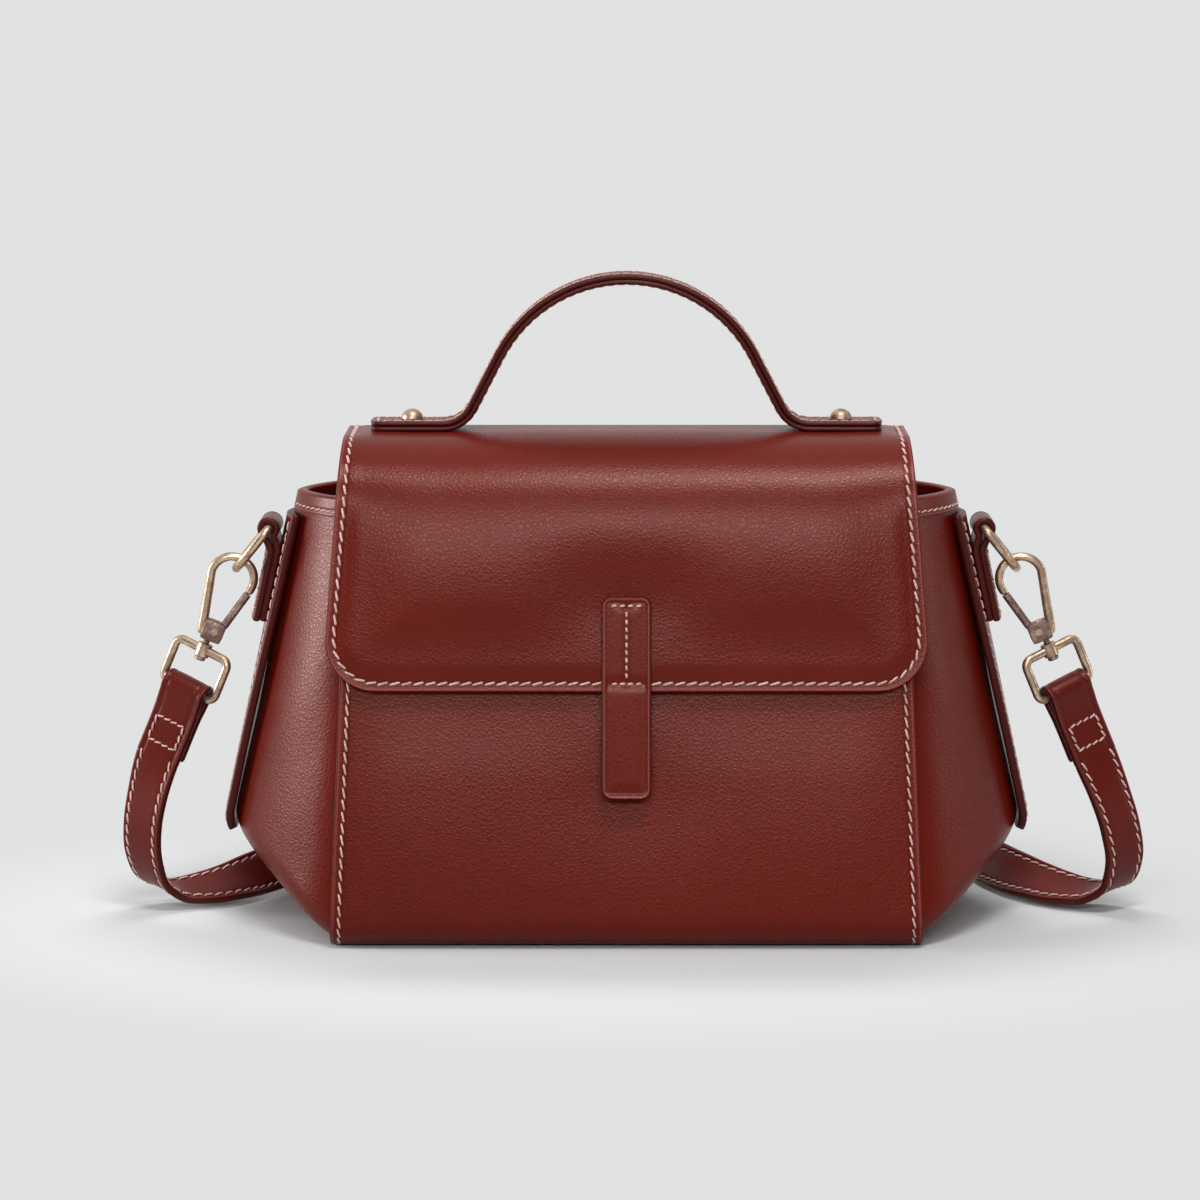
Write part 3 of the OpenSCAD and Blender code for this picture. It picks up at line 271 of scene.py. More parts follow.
def make_piece(name, points, quads, triangles, finish, edge=None, sharp=None):
    """Puts arrays in millimetres into a mesh object: points, four-sided and three-sided faces,
    and for leather how far each point lies from the piece's cut edge."""
    mesh = bpy.data.meshes.new(name)
    mesh.vertices.add(len(points))
    mesh.vertices.foreach_set("co", (points * MM).astype(np.float32).ravel())
    corners = np.concatenate([quads.ravel(), triangles.ravel()])
    starts = np.concatenate(
        [np.arange(len(quads)) * 4, len(quads) * 4 + np.arange(len(triangles)) * 3]
    )
    mesh.loops.add(len(corners))
    mesh.loops.foreach_set("vertex_index", corners)
    mesh.polygons.add(len(starts))
    mesh.polygons.foreach_set("loop_start", starts)
    mesh.update(calc_edges=True)
    mesh.validate()
    mesh.polygons.foreach_set("use_smooth", np.ones(len(mesh.polygons), bool))
    if edge is not None:
        mesh.attributes.new("edge_mm", "FLOAT", "POINT").data.foreach_set(
            "value", np.asarray(edge, np.float32).ravel()
        )
    if sharp is not None:
        mesh.set_sharp_from_angle(angle=math.radians(sharp))
    mesh.materials.append(finish)
    piece = bpy.data.objects.new(name, mesh)
    bpy.context.scene.collection.objects.link(piece)
    return piece


def grid_faces(rows, cols, start=0):
    """Four-sided faces of a grid of points, row after row."""
    r, c = np.meshgrid(np.arange(rows - 1), np.arange(cols - 1), indexing="ij")
    a = start + (r * cols + c).ravel()
    return np.stack([a, a + 1, a + cols + 1, a + cols], axis=1)


def ring_faces(rings, sides):
    """Faces of a closed form made of rings of points: four-sided walls, and a fan over each end."""
    r, c = np.meshgrid(np.arange(rings - 1), np.arange(sides), indexing="ij")
    a, b = (r * sides + c).ravel(), (r * sides + (c + 1) % sides).ravel()
    fan = np.array([[0, k + 1, k] for k in range(1, sides - 1)])
    caps = np.concatenate([fan, (rings - 1) * sides + fan[:, ::-1]])
    return np.stack([a, b, b + sides, a + sides], 1), caps


def leather_skin(name, outer, inner, edge, finish, roll=0.55, rim_rows=5):
    """A closed piece of leather between an outer and an inner grid of points. Its cut edge is a
    half round: from the outer rim to the inner one the wall follows middle + half * cos(t)
    + outwards * roll * half thickness * sin(t)."""
    rows, cols = outer.shape[:2]
    rim = np.concatenate(
        [
            np.stack([np.zeros(cols, int), np.arange(cols)], 1),
            np.stack([np.arange(1, rows), np.full(rows - 1, cols - 1)], 1),
            np.stack([np.full(cols - 1, rows - 1), np.arange(cols - 2, -1, -1)], 1),
            np.stack([np.arange(rows - 2, 0, -1), np.zeros(rows - 2, int)], 1),
        ]
    )
    near = np.clip(rim, 1, [rows - 2, cols - 2])
    o, i = outer[rim[:, 0], rim[:, 1]], inner[rim[:, 0], rim[:, 1]]
    away = unit(o - outer[near[:, 0], near[:, 1]])
    middle, half = (o + i) / 2, (o - i) / 2
    reach = np.linalg.norm(half, axis=1, keepdims=True) * roll
    turns = [math.pi * k / (rim_rows + 1) for k in range(1, rim_rows + 1)]
    rings = [middle + half * math.cos(t) + away * reach * math.sin(t) for t in turns]
    points = np.concatenate([outer.reshape(-1, 3), inner.reshape(-1, 3), *rings])
    count, total = len(rim), rows * cols
    loops = [rim[:, 0] * cols + rim[:, 1]]
    loops += [2 * total + k * count + np.arange(count) for k in range(rim_rows)]
    loops += [total + loops[0]]
    walls = [np.stack([np.roll(a, -1), a, b, np.roll(b, -1)], 1) for a, b in zip(loops[:-1], loops[1:])]
    quads = np.concatenate([grid_faces(rows, cols), grid_faces(rows, cols, total)[:, ::-1], *walls])
    quads, none = faced_out(points, quads, np.zeros((0, 3), int))
    marks = np.concatenate([edge.ravel(), edge.ravel(), np.full(count * rim_rows, -1.0)])
    return make_piece(name, points, quads, none, finish, marks)


STITCH_PITCH, STITCH_SHARE, THREAD, SLANT = 4.3, 0.97, 0.37, 14.0


def stitches(name, seams, finish, pitch=STITCH_PITCH, thick=THREAD, slant=SLANT, share=STITCH_SHARE):
    """Rows of thread. Each seam is (line, normals): points along it and the leather's outward
    direction there. A stitch is a leaning spindle that dips into the leather at both ends: its
    middle line is along * s + up * thick * (0.62 - 1.1 s^4), its radius thick * (1 - 0.82 s^6)^0.5."""
    rings, sides = 7, 6
    s = np.linspace(-1, 1, rings)
    turn = 2 * np.pi * np.arange(sides) / sides
    rise, size = thick * (0.62 - 1.1 * s**4), thick * np.sqrt(1 - 0.82 * s**6)
    round_up, round_side = (
        (np.cos(turn) * 0.85)[None, None, :, None],
        (np.sin(turn) * 1.1)[None, None, :, None],
    )
    cos_lean, sin_lean = math.cos(math.radians(slant)), math.sin(math.radians(slant))
    wall, cap = ring_faces(rings, sides)
    points, quads, triangles, start = [], [], [], 0
    for line, normals in seams:
        at = run_along(line)
        count = max(1, int(round(at[-1] / pitch)))
        own = at[-1] / count
        mid = (np.arange(count) + 0.5) * own
        first, last = (read_at(mid + k * own * 0.5, at, line) for k in (-1, 1))
        up = unit(read_at(mid, at, normals))
        along = unit(last - first)
        side = unit(np.cross(up, along))
        along, side = along * cos_lean + side * sin_lean, side * cos_lean - along * sin_lean
        up, along, side = (v[:, None, None] for v in (up, along, side))
        axis = (
            ((first + last) / 2)[:, None, None]
            + along * (s * own * share / 2)[None, :, None, None]
            + up * rise[None, :, None, None]
        )
        ring = (up * round_up + side * round_side) * size[None, :, None, None]
        points.append((axis + ring).reshape(-1, 3))
        base = start + np.arange(count)[:, None, None] * rings * sides
        quads.append((base + wall[None]).reshape(-1, 4))
        triangles.append((base + cap[None]).reshape(-1, 3))
        start += len(points[-1])
    points, quads, triangles = (np.concatenate(x) for x in (points, quads, triangles))
    return make_piece(name, points, *faced_out(points, quads, triangles), finish)


PEBBLES, PORES, DRIFTS, CLOUDS, TWISTS = 640.0, 3200.0, 11.0, 70.0, 520.0  # waves or cells a metre
GRAIN_DEPTH, TWIST_DEPTH = 0.00006, 0.00008


def leather_finish(name, deep, body, lit, seam=2.7, grain=1.0, gloss=0.4):
    """Oxblood leather: fine pebbles of about a millimetre, a colour that drifts between a deep
    and a body tone, a pressed groove under the seam that is also darkened with painted shade,
    a painted highlight in the lit colour along the crest of the rounded cut edge, and a
    painted edge. edge_mm is the distance from the cut edge, below zero on the edge itself."""
    finish = Finish(name)
    place = finish.place()
    bent = finish.mix(0.0012, place, finish.noise(place, 700.0, 1.0, output="Color"), "VECTOR")
    cells = finish.node(
        "ShaderNodeTexVoronoi", {"feature": "DISTANCE_TO_EDGE"}, {"Vector": bent, "Scale": PEBBLES}
    )
    pebble = cells.ramp(0.0, 0.32)
    pores, drift, cloud = (finish.noise(place, scale) for scale in (PORES, DRIFTS, CLOUDS))
    edge = finish.node("ShaderNodeAttribute", {"attribute_name": "edge_mm"}, output="Fac")
    groove = 1.0 - abs(edge - seam).ramp(0.25, 1.5)
    rim = 1.0 - edge.ramp(-0.6, 0.25)
    # The lit colour on the crest of the rounded edge is a painted highlight, where the edge would catch the
    # light.
    edge_highlight = (1.0 - abs(edge - 0.35).ramp(0.05, 0.75)) * (1.0 - rim)
    tone = finish.mix(0.35 + (drift * 0.7 + cloud * 0.3).ramp(0.25, 0.75) * 0.4, deep, body)
    tone = finish.mix((1.0 - pebble) * (0.3 * grain), tone, deep)
    # The groove under the seam is painted darker: painted shade in the pressed groove.
    tone = finish.mix(groove * 0.35, tone, deep)
    tone = finish.mix(edge_highlight * (0.25 + drift * 0.3), tone, lit)
    tone = finish.mix(rim * 0.8, tone, (*(0.62 * c for c in deep[:3]), 1.0))
    height = pebble * (0.5 * grain) + pores * 0.16 + cloud * 0.1 - groove * 2.2
    return finish.principled(
        Base_Color=tone,
        Roughness=gloss - 0.14 + (1.0 - pebble) * 0.08 + drift * 0.06 + rim * 0.05,
        Normal=finish.bump(height, GRAIN_DEPTH),
        IOR=1.5,
        Specular_IOR_Level=0.29,
        Specular_Tint=(1.0, 0.66, 0.6, 1.0),
    )


def thread_finish():
    """Waxed linen thread, off-white with a pink tint, with a fine twist."""
    finish = Finish("thread")
    place = finish.place()
    twist = finish.node(
        "ShaderNodeTexWave",
        {"bands_direction": "DIAGONAL"},
        {"Vector": place, "Scale": TWISTS, "Distortion": 1.0},
    )
    drift = finish.noise(place, 300.0)
    return finish.principled(
        Base_Color=finish.mix(drift.ramp(0.3, 0.7), (0.42, 0.235, 0.21, 1.0), (0.57, 0.37, 0.335, 1.0)),
        Roughness=0.62 + drift * 0.15,
        Normal=finish.bump(twist, TWIST_DEPTH),
    )


# LIT is the colour of the painted highlight along the crest of the leather's rounded edges.
DEEP, BODY, LIT = (0.064, 0.0029, 0.0008, 1.0), (0.123, 0.0059, 0.0015, 1.0), (0.30, 0.060, 0.045, 1.0)
STRAP_DEEP, STRAP_BODY = (0.052, 0.003, 0.0015, 1.0), (0.105, 0.0068, 0.0038, 1.0)
strap_leather = leather_finish("strap_leather", STRAP_DEEP, STRAP_BODY, LIT, 2.5, 0.45, 0.42)
thread = thread_finish()

STRAP_W, STRAP_T, STRAP_ROLL, STRAP_SEAM = 18.0, 3.0, 0.7, 2.6
HOOK_PLACE = np.array([154.802, 0.0, 107.643])
HOOK_TILT, RING_TURN = math.radians(22.6), math.radians(23)
FOLD_Z, FOLD_LENGTH, FOLD_GAP = -24.4, 26.0, 0.1
STRAP_ON_Z = FOLD_Z - FOLD_LENGTH - 4 / 3
SIDES = (("right", np.array([1.0, 1.0, 1.0])), ("left", np.array([-1.0, 1.0, 1.0])))
to_left = SIDES[1][1]


def spun(p, angle, first, second):
    """The points turned by an angle from one axis towards another."""
    out = p.copy()
    out[..., first] = p[..., first] * math.cos(angle) - p[..., second] * math.sin(angle)
    out[..., second] = p[..., second] * math.cos(angle) + p[..., first] * math.sin(angle)
    return out


def from_hook(p):
    """From the right hook's own axes to the row frame, in millimetres."""
    return HOOK_PLACE + spun(np.array(p, float), -HOOK_TILT, 2, 0)


def from_ring(p):
    """From the right swivel ring's own axes to the row frame, in millimetres."""
    return from_hook(spun(np.array(p, float), RING_TURN, 0, 1))


strap_start = from_ring([0, -(FOLD_GAP + STRAP_T) / 2, STRAP_ON_Z])
strap_across = from_ring([-1, 0, 0]) - from_ring([0, 0, 0])
strap_lead = from_ring([0, -(FOLD_GAP + STRAP_T) / 2, STRAP_ON_Z + 8])

# The route: each stop is the middle of the strap and the direction to its front or lower edge
LEFT_HANG = [
    (-179.4, -1, 46, 0.84, -0.53, -0.12),
    (-181.7, -0.5, 33, 0.81, -0.58, 0),
    (-181.7, 1, 21.5, 0.78, -0.62, 0),
    (-178.6, 4, 11.8, 0.7, -0.7, -0.06),
    (-171, 7.5, 7, 0.5, -0.84, -0.2),
    (-160, 11, 6.6, 0.3, -0.88, -0.42),
    (-149, 18.5, 7.6, 0.42, -0.7, -0.6),
]
RIGHT_HANG = [
    (181, -2, 46, -0.86, -0.5, -0.1),
    (185.4, -2.5, 32, -0.84, -0.54, 0),
    (187, -1.5, 20, -0.8, -0.6, 0),
    (184.5, 1, 10.8, -0.74, -0.67, -0.06),
    (177, 5, 6.8, -0.55, -0.82, -0.2),
    (166, 9.5, 6.6, -0.3, -0.88, -0.42),
    (155, 20, 7.6, -0.42, -0.7, -0.6),
]
LEFT_TURN = [(-140, 29, 8.6, 0.5, -0.33, -0.8), (-130, 43, 9.2, 0.4, -0.27, -0.88)]
LEFT_MEET, RIGHT_MEET = (-119, 57, 9.5, 0.2, -0.15, -0.97), (139, 48, 9.2, -0.35, -0.2, -0.9)
ON_EDGE = (9.6, 0, 0, -1)
FOLDS = [(-105, 69), (-84, 78), (-50, 80), (0, 80), (50, 80), (76, 80), (84.5, 83.5), (88, 92)]
FOLDS += [(84.5, 100.5), (76, 104), (40, 104), (0, 104), (-40, 104), (-76, 104), (-84.5, 107.5)]
FOLDS += [(-88, 116), (-84.5, 124.5), (-76, 128), (-40, 128), (0, 128), (40, 128), (74, 127)]
FOLDS += [(96, 118), (112, 103), (124, 84)]
BEHIND = LEFT_TURN + [LEFT_MEET] + [(x, y, *ON_EDGE) for x, y in FOLDS]
BEHIND += [(132, 66, 9.5, -0.15, -0.1, -0.98), RIGHT_MEET, (146, 33, 8.6, -0.5, -0.33, -0.8)]


def through(stops, spacing):
    """A smooth curve through all stops, evenly spaced: on each stretch the cubic whose slope at a
    stop is that of the line between its neighbours, with knots at the chord lengths."""
    knots = run_along(stops[:, :3])
    slope = np.gradient(stops, knots, axis=0)
    at = np.linspace(0, knots[-1], int(knots[-1] / 0.5) + 2)
    k = np.clip(np.searchsorted(knots, at, side="right") - 1, 0, len(knots) - 2)
    width = (knots[k + 1] - knots[k])[:, None]
    t = (at - knots[k])[:, None] / width
    fine = (
        stops[k] * (2 * t**3 - 3 * t**2 + 1)
        + slope[k] * width * (t**3 - 2 * t**2 + t)
        + stops[k + 1] * (3 * t**2 - 2 * t**3)
        + slope[k + 1] * width * (t**3 - t**2)
    )
    run = run_along(fine[:, :3])
    return read_at(np.linspace(0, run[-1], int(run[-1] / spacing) + 2), run, fine)


right_hook = [[*strap_start, *strap_across], [*strap_lead, *strap_across]]
left_hook = [[*(row[:3] * to_left), *(row[3:] * to_left)] for row in np.array(right_hook[::-1])]
route = through(np.array([*left_hook, *LEFT_HANG, *BEHIND, *RIGHT_HANG[::-1], *right_hook]), 1.5)


def nearest(place):
    """The number of the route's point that lies nearest to a place."""
    return int(np.linalg.norm(route[:, :3] - np.asarray(place), axis=1).argmin())


left_start, right_start = nearest(strap_start * to_left), nearest(strap_start)
left_meet, right_meet = nearest(LEFT_MEET[:3]), nearest(RIGHT_MEET[:3])
route_way = unit(np.gradient(route[:, :3], axis=0))
route_across = unit(route[:, 3:] - (route[:, 3:] * route_way).sum(1, keepdims=True) * route_way)
route_face = np.cross(route_way, route_across)


def band_shares(cells):
    """Places across a flat band from -1 to 1, evenly spread but closer at the edges."""
    return np.sin(np.linspace(-np.pi / 2, np.pi / 2, cells + 1) * 0.92) / math.sin(np.pi / 2 * 0.92)


def strap_stretch(name, first, last):
    """The strap between two places on its route, its thread rows on both faces, and its line. Its
    faces lie half the thickness either side of the line, pressed in where the thread runs."""
    part = slice(first, last + 1)
    line, across, face = route[part, :3], route_across[part], route_face[part]
    u = (STRAP_W - STRAP_T * STRAP_ROLL) / 2 * band_shares(18)
    edge = (STRAP_W / 2 - np.abs(u))[None, :] + np.zeros((len(line), 1))
    half = face[:, None] * (STRAP_T / 2 - seam_dip(edge, 0.12))[..., None]
    middle = line[:, None] + across[:, None] * u[None, :, None]
    piece = leather_skin(name, middle + half, middle - half, edge, strap_leather, STRAP_ROLL)
    inset = across * (STRAP_W / 2 - STRAP_SEAM)
    rows = []
    for side in (-1, 1):
        for up in (-1, 1):
            rows.append((line + inset * side + face * up * (STRAP_T / 2 - 0.1), face * up))
    return piece, stitches(name + "_thread", rows, thread), line * MM


left_piece, left_thread, left_line = strap_stretch("strap_left", left_start, left_meet)
right_piece, right_thread, right_line = strap_stretch("strap_right", right_meet, right_start)
rear_piece, rear_thread, rear_line = strap_stretch("strap_behind", left_meet, right_meet)


for made in (left_piece, left_thread):
    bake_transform(made)
for made in (right_piece, right_thread):
    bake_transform(made)
for made in (rear_piece, rear_thread):
    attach(made, "root")
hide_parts("strap_hang_left")
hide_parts("strap_hang_right")
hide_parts("strap_rear")

# The body: one panel of thick leather that is front, base and back in a single
# U, cut with straight sides that widen to the base. Its side edges are painted
# and sewn over the gussets with one row of pale thread 2.7 mm in.

BASE_W, MOUTH_W, BASE_D, MOUTH_D, BODY_H, BACK_Z = 216.0, 204.0, 124.4, 62.4, 160.0, 170.4
BEND_R, WRAP_T, FIT, SEAM_IN = 10.0, 2.2, 0.15, 2.7
LIP, BULGE, BULGE_Z, TUCK, TUCK_LOW, TUCK_HIGH, SNAP_Z = 0.75, 1.1, 38.0, 0.8, 60.0, 92.0, 72.0
LEAN = math.atan((BASE_D - MOUTH_D) / 2 / BODY_H)
lean_deg = math.degrees(LEAN)
bend_y = BASE_D / 2 - BEND_R * math.tan(LEAN) - BEND_R / math.cos(LEAN)
body_leather = leather_finish("oxblood_leather", DEEP, BODY, LIT)


def soft_waves(seed, u, v, size, count=7):
    """A smooth uneven height from -1 to 1: the mean of sine waves of random heading and phase,
    each about size long in the units of u and v."""
    draw = np.random.default_rng(seed)
    heading = draw.uniform(0, 2 * math.pi, count)
    pitch = 2 * math.pi / (size * draw.uniform(0.7, 1.6, count))
    phase = draw.uniform(0, 2 * math.pi, count)
    total = 0
    for a, k, p in zip(heading, pitch, phase):
        total = total + np.sin(k * (u * math.cos(a) + v * math.sin(a)) + p)
    return total / count * 1.5


def panel_half(z):
    """Half the panel's width, which shrinks evenly from the base to the mouth."""
    return BASE_W / 2 - (BASE_W - MOUTH_W) / 2 * z / BODY_H


def wall_y(z, off=0.0):
    """Distance of a wall from the middle plane: the floor depth, less the lean, less off square to it."""
    return BASE_D / 2 - z * math.tan(LEAN) - off / math.cos(LEAN)


def arc(middle, r, first, last, count):
    """Points round a circle from one angle to another, in degrees."""
    turn = np.radians(np.linspace(first, last, count))
    return np.stack([middle[0] + r * np.cos(turn), middle[1] + r * np.sin(turn)], 1)


def u_shape(off, front_z, rear_z, count):
    """The U of front, base and back at a depth under the wrap's face: leaning walls and two bends."""
    return np.concatenate(
        [
            [[-wall_y(front_z, off), front_z]],
            arc((-bend_y, BEND_R), BEND_R - off, 180 - lean_deg, 270, count),
            arc((bend_y, BEND_R), BEND_R - off, 270, 360 + lean_deg, count),
            [[wall_y(rear_z, off), rear_z]],
        ]
    )


def evenly(line, spacing, ends=(0.4, 1.1)):
    """The line again with even spacing, and a few closer points near both ends."""
    run = run_along(line)
    at = np.linspace(ends[1] * 2, run[-1] - ends[1] * 2, int(run[-1] / spacing))
    at = np.concatenate([[0, *ends], at, run[-1] - np.array([ends[1], ends[0], 0])])
    return read_at(at, run, line), at


def line_normals(line, row, way):
    """Directions square to a line in its plane, on the side that way points to at one row."""
    along = unit(np.gradient(line, axis=0))
    normal = np.stack([along[:, 1], -along[:, 0]], 1)
    return normal if (normal[row] * way).sum() > 0 else -normal


def across_shares(half, spacing=2.2):
    """Places across a panel from -1 to 1, closer at both edges."""
    inside = np.linspace(-1 + 2.0 / half, 1 - 2.0 / half, int(2 * half / spacing))
    near = np.array([1, 1 - 0.4 / half, 1 - 1.1 / half])
    return np.concatenate([-near, inside, near[::-1]])


def lifted(x, line, normal, rise):
    """A grid at x across, each row over its place on a line in the YZ plane by rise * normal."""
    rise = np.broadcast_to(rise, x.shape)[..., None]
    return np.concatenate([x[..., None], line[:, None] + normal[:, None] * rise], 2)


wrap_line, wrap_run = evenly(u_shape(0.0, BODY_H - LIP, BACK_Z - LIP, 80), 2.2)
wrap_normal = line_normals(wrap_line, 0, (-1, 0))
wrap_z, wrap_shares = wrap_line[:, 1:], across_shares(BASE_W / 2)[None, :]
wrap_half = panel_half(wrap_z) - LIP
wrap_x, to_edge = wrap_half * wrap_shares, wrap_half * (1 - np.abs(wrap_shares))
inland = smooth(1 - np.abs(wrap_shares), 0.0, 0.25)
# The front is fullest at BULGE_Z, though not where the closure tab hangs, and is tucked in under
# the flap, though not behind the tab's snap at SNAP_Z. The back dips in soft waves.
full = (1 - np.clip(1 - wrap_z / BULGE_Z, 0, 1) ** 2) * (1 - smooth(wrap_z, BULGE_Z, 90.0)) * inland
full = full * (1 - np.exp(-(wrap_x**2 + np.maximum(TUCK_LOW - wrap_z, 0) ** 2) / 30.0**2))
tuck = smooth(wrap_z, TUCK_LOW, TUCK_HIGH) * inland
tuck = tuck * (1 - np.exp(-(wrap_x**2 + (wrap_z - SNAP_Z) ** 2) / 15.0**2))
waves = soft_waves(3, wrap_x, wrap_run[:, None], 90.0)
sag = smooth(wrap_z, 10, 40) * inland * (0.9 * waves - 0.5)
wrap_move = np.where(wrap_line[:, :1] < 0, BULGE * full - TUCK * tuck - 0.2, np.minimum(sag, 0.0))
wrap_move = wrap_move - seam_dip(to_edge, 0.22, SEAM_IN, 1.2) - 0.12 * (1 - smooth(to_edge, 2.5, 6.5))
to_mouth = np.minimum(wrap_run, wrap_run[-1] - wrap_run)[:, None]
wrap = leather_skin(
    "wrap_panel_leather",
    lifted(wrap_x, wrap_line, wrap_normal, wrap_move),
    lifted(wrap_x, wrap_line, wrap_normal, wrap_move - WRAP_T + 0.1),
    np.minimum(to_edge, np.where(to_mouth < 2.0, to_mouth, INLAND)),
    body_leather,
)
wrap_seams = []
for k in (-1, 1):
    seam_x = k * (wrap_half - SEAM_IN)
    seam_line = np.concatenate([seam_x, wrap_line - wrap_normal * 0.3], 1)
    wrap_seams.append((seam_line, np.concatenate([0 * seam_x, wrap_normal], 1)))
wrap_thread = stitches("wrap_panel_thread", wrap_seams, thread)
for made in (wrap, wrap_thread):
    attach(made, "root")
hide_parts("wrap_panel")

# The gussets: a softer shell of leather at each side that swells to a blunt
# ridge low down and is turned in under the panel all round. Over its top edge
# lies a thin folded binding with its own row of thread.

GUSSET_TOP, GUSSET_WIDE, GUSSET_WIDE_H, GUSSET_T = 23.0, 45.5, 33.0, 2.0
GUSSET_IN, FLANGE, RIDGE, KNEE, PROBE = 4.0, 8.0, 1.45, 14.0, 0.5
gusset_off = WRAP_T + FIT
wide_z = gusset_off + GUSSET_WIDE_H


def seam_at(z):
    """Where the gusset meets the panel at height z: a little inside the panel's edge."""
    return panel_half(z) - GUSSET_IN


def gusset_depth(z):
    """Half the depth inside the wrap at height z: the leaning wall above the bend, the bend's arc below."""
    inner_r = BEND_R - gusset_off
    bent = bend_y + np.sqrt(np.maximum(0, inner_r**2 - (BEND_R - z) ** 2))
    return np.where(z >= BEND_R + inner_r * math.sin(LEAN), wall_y(z, gusset_off), bent)


def gusset_x(y, z):
    """The seam's place, plus the lesser of two heights with a soft change between them: a side that
    narrows upwards times (1 - share^1.45)^(1/1.45) across the depth, and a straight underside."""
    side = GUSSET_TOP + (GUSSET_WIDE - GUSSET_TOP) * (BODY_H - z) / (BODY_H - wide_z)
    share = np.minimum(1, np.abs(y / gusset_depth(z)))
    swell = side * np.maximum(0, 1 - share**RIDGE) ** (1 / RIDGE)
    under = GUSSET_WIDE * np.maximum(0, z - gusset_off) / GUSSET_WIDE_H + KNEE / 4
    blend = np.maximum(KNEE - np.abs(swell - under), 0) ** 2 / KNEE / 4
    return seam_at(z) + np.maximum(0, np.minimum(swell, under) - blend)


def gusset_slopes(y, z):
    """How fast the gusset's face moves out across the depth and up the height."""
    across = (gusset_x(y + PROBE, z) - gusset_x(y - PROBE, z)) / (2 * PROBE)
    rise = (gusset_x(y, z + PROBE) - gusset_x(y, z - PROBE)) / (2 * PROBE)
    return across, rise


def with_flange(x, y, z, depth):
    """The grid with one more column at each side, turned in under the wrap panel."""
    first, last = (
        np.stack([seam_at(z[:, 0]) - FLANGE, k * depth, z[:, 0]], 1)[:, None] for k in (-1, 1)
    )
    return np.concatenate([first, np.stack([x, y, z], -1), last], 1)


gusset_rows = gusset_off + 0.05 + (BODY_H - gusset_off - 0.1) * np.linspace(0, 1, 90) ** 1.35
gz, gs = np.meshgrid(gusset_rows, np.sin(np.linspace(-np.pi / 2, np.pi / 2, 76)) * 0.999, indexing="ij")
gy = gs * gusset_depth(gz)
gusset_free = smooth(1 - np.abs(gs), 0.02, 0.2) * smooth(gz, 6, 26) * smooth(BODY_H - gz, 4, 22)
gx = gusset_x(gy, gz) + gusset_free * 0.55 * (soft_waves(11, gy, gz, 46.0) - 1)
gx_inner = gx - GUSSET_T * np.sqrt(1 + gusset_slopes(gy, gz)[1] ** 2)
gx_inner = np.maximum(gx_inner, seam_at(gz) - FLANGE + FIT)
depth_in = gusset_depth(gz) - GUSSET_T
gusset_outer = with_flange(gx, gy, gz, gusset_depth(gusset_rows))
gusset_inner = with_flange(gx_inner, gs * depth_in, gz, depth_in[:, 0])
gusset_edge = np.full(gusset_outer.shape[:2], INLAND)

BINDING_T, BINDING_H, BINDING_SEAM = 0.8, 6.0, 1.7
rim_shares = np.sin(np.linspace(-np.pi / 2, np.pi / 2, 61))[5:-5]


def level(xy, z):
    """Points in plan, put at one height."""
    return np.concatenate([xy, np.full((len(xy), 1), z)], 1)


def rim_out(z, d):
    """A row on the gusset's outer face at height z, d out along the normal in plan."""
    z = np.minimum(z, BODY_H - 0.01)
    y = rim_shares * gusset_depth(z)
    slope, _ = gusset_slopes(y, np.minimum(z, BODY_H - PROBE))
    n = unit(np.stack([np.ones_like(slope), -slope], -1))
    return np.stack([gusset_x(y, z) + d * n[..., 0], y + d * n[..., 1]], -1)


def rim_in(z, d):
    """A row d inside the gusset's inner face at height z."""
    z = np.minimum(z, BODY_H - 0.01)
    y = rim_shares * gusset_depth(z)
    _, rise = gusset_slopes(y, np.minimum(z, BODY_H - PROBE))
    x = gusset_x(y, z) - GUSSET_T * np.sqrt(1 + rise**2) - d
    return np.stack([x, rim_shares * (gusset_depth(z) - GUSSET_T - d)], -1)


def binding_grid(d):
    """Up the outer face, over the rim in a half round and down the inner face, d off the gusset."""
    up = BODY_H - BINDING_H + (BINDING_H - 0.2) * np.linspace(0, 1, 9)
    rows = [level(rim_out(z, d), z) for z in up]
    top_out, top_in = rim_out(BODY_H, d), rim_in(BODY_H, d)
    for t in np.linspace(0, np.pi, 11):
        share = (1 - math.cos(t)) / 2
        rows.append(level(top_out * (1 - share) + top_in * share, BODY_H + (d + 0.1) * math.sin(t)))
    rows += [level(rim_in(z, d), z) for z in up[::-1]]
    return np.stack(rows)


binding_outer, binding_inner = binding_grid(FIT + BINDING_T), binding_grid(FIT * 0.4)
binding_row = np.arange(len(binding_outer))
binding_edge = np.minimum(binding_row, binding_row[::-1])[:, None] * 0.75 + 0 * rim_shares[None, :]
binding_edge = np.where(binding_edge < 3.6, binding_edge, INLAND)
binding_leather = leather_finish("binding_leather", DEEP, BODY, LIT, 1.8, 0.3)
rim_seam_z = BODY_H - BINDING_H + BINDING_SEAM
rim_row = level(rim_out(rim_seam_z, FIT + BINDING_T - 0.05), rim_seam_z)
rim_up = level(unit(rim_out(rim_seam_z, 3.0) - rim_out(rim_seam_z, 0.0)), 0.0)
for side, flip in SIDES:
    shell = leather_skin(
        "gusset_leather_" + side, gusset_outer * flip, gusset_inner * flip, gusset_edge, body_leather
    )
    bound = leather_skin(
        "rim_binding_leather_" + side,
        binding_outer * flip,
        binding_inner * flip,
        binding_edge,
        binding_leather,
    )
    rim_thread = stitches("rim_binding_thread_" + side, [(rim_row * flip, rim_up * flip)], thread, 3.4, 0.3)
    for made in (shell, bound, rim_thread):
        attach(made, "root")
    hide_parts("gusset_" + side)
    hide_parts("rim_binding_" + side)

# The side strips: a thick strip of leather that runs down the ridge of each
# gusset, flatter across than the ridge and dark on its painted edges. It is
# sewn down both sides and round its lower end, and carries the ring tab.

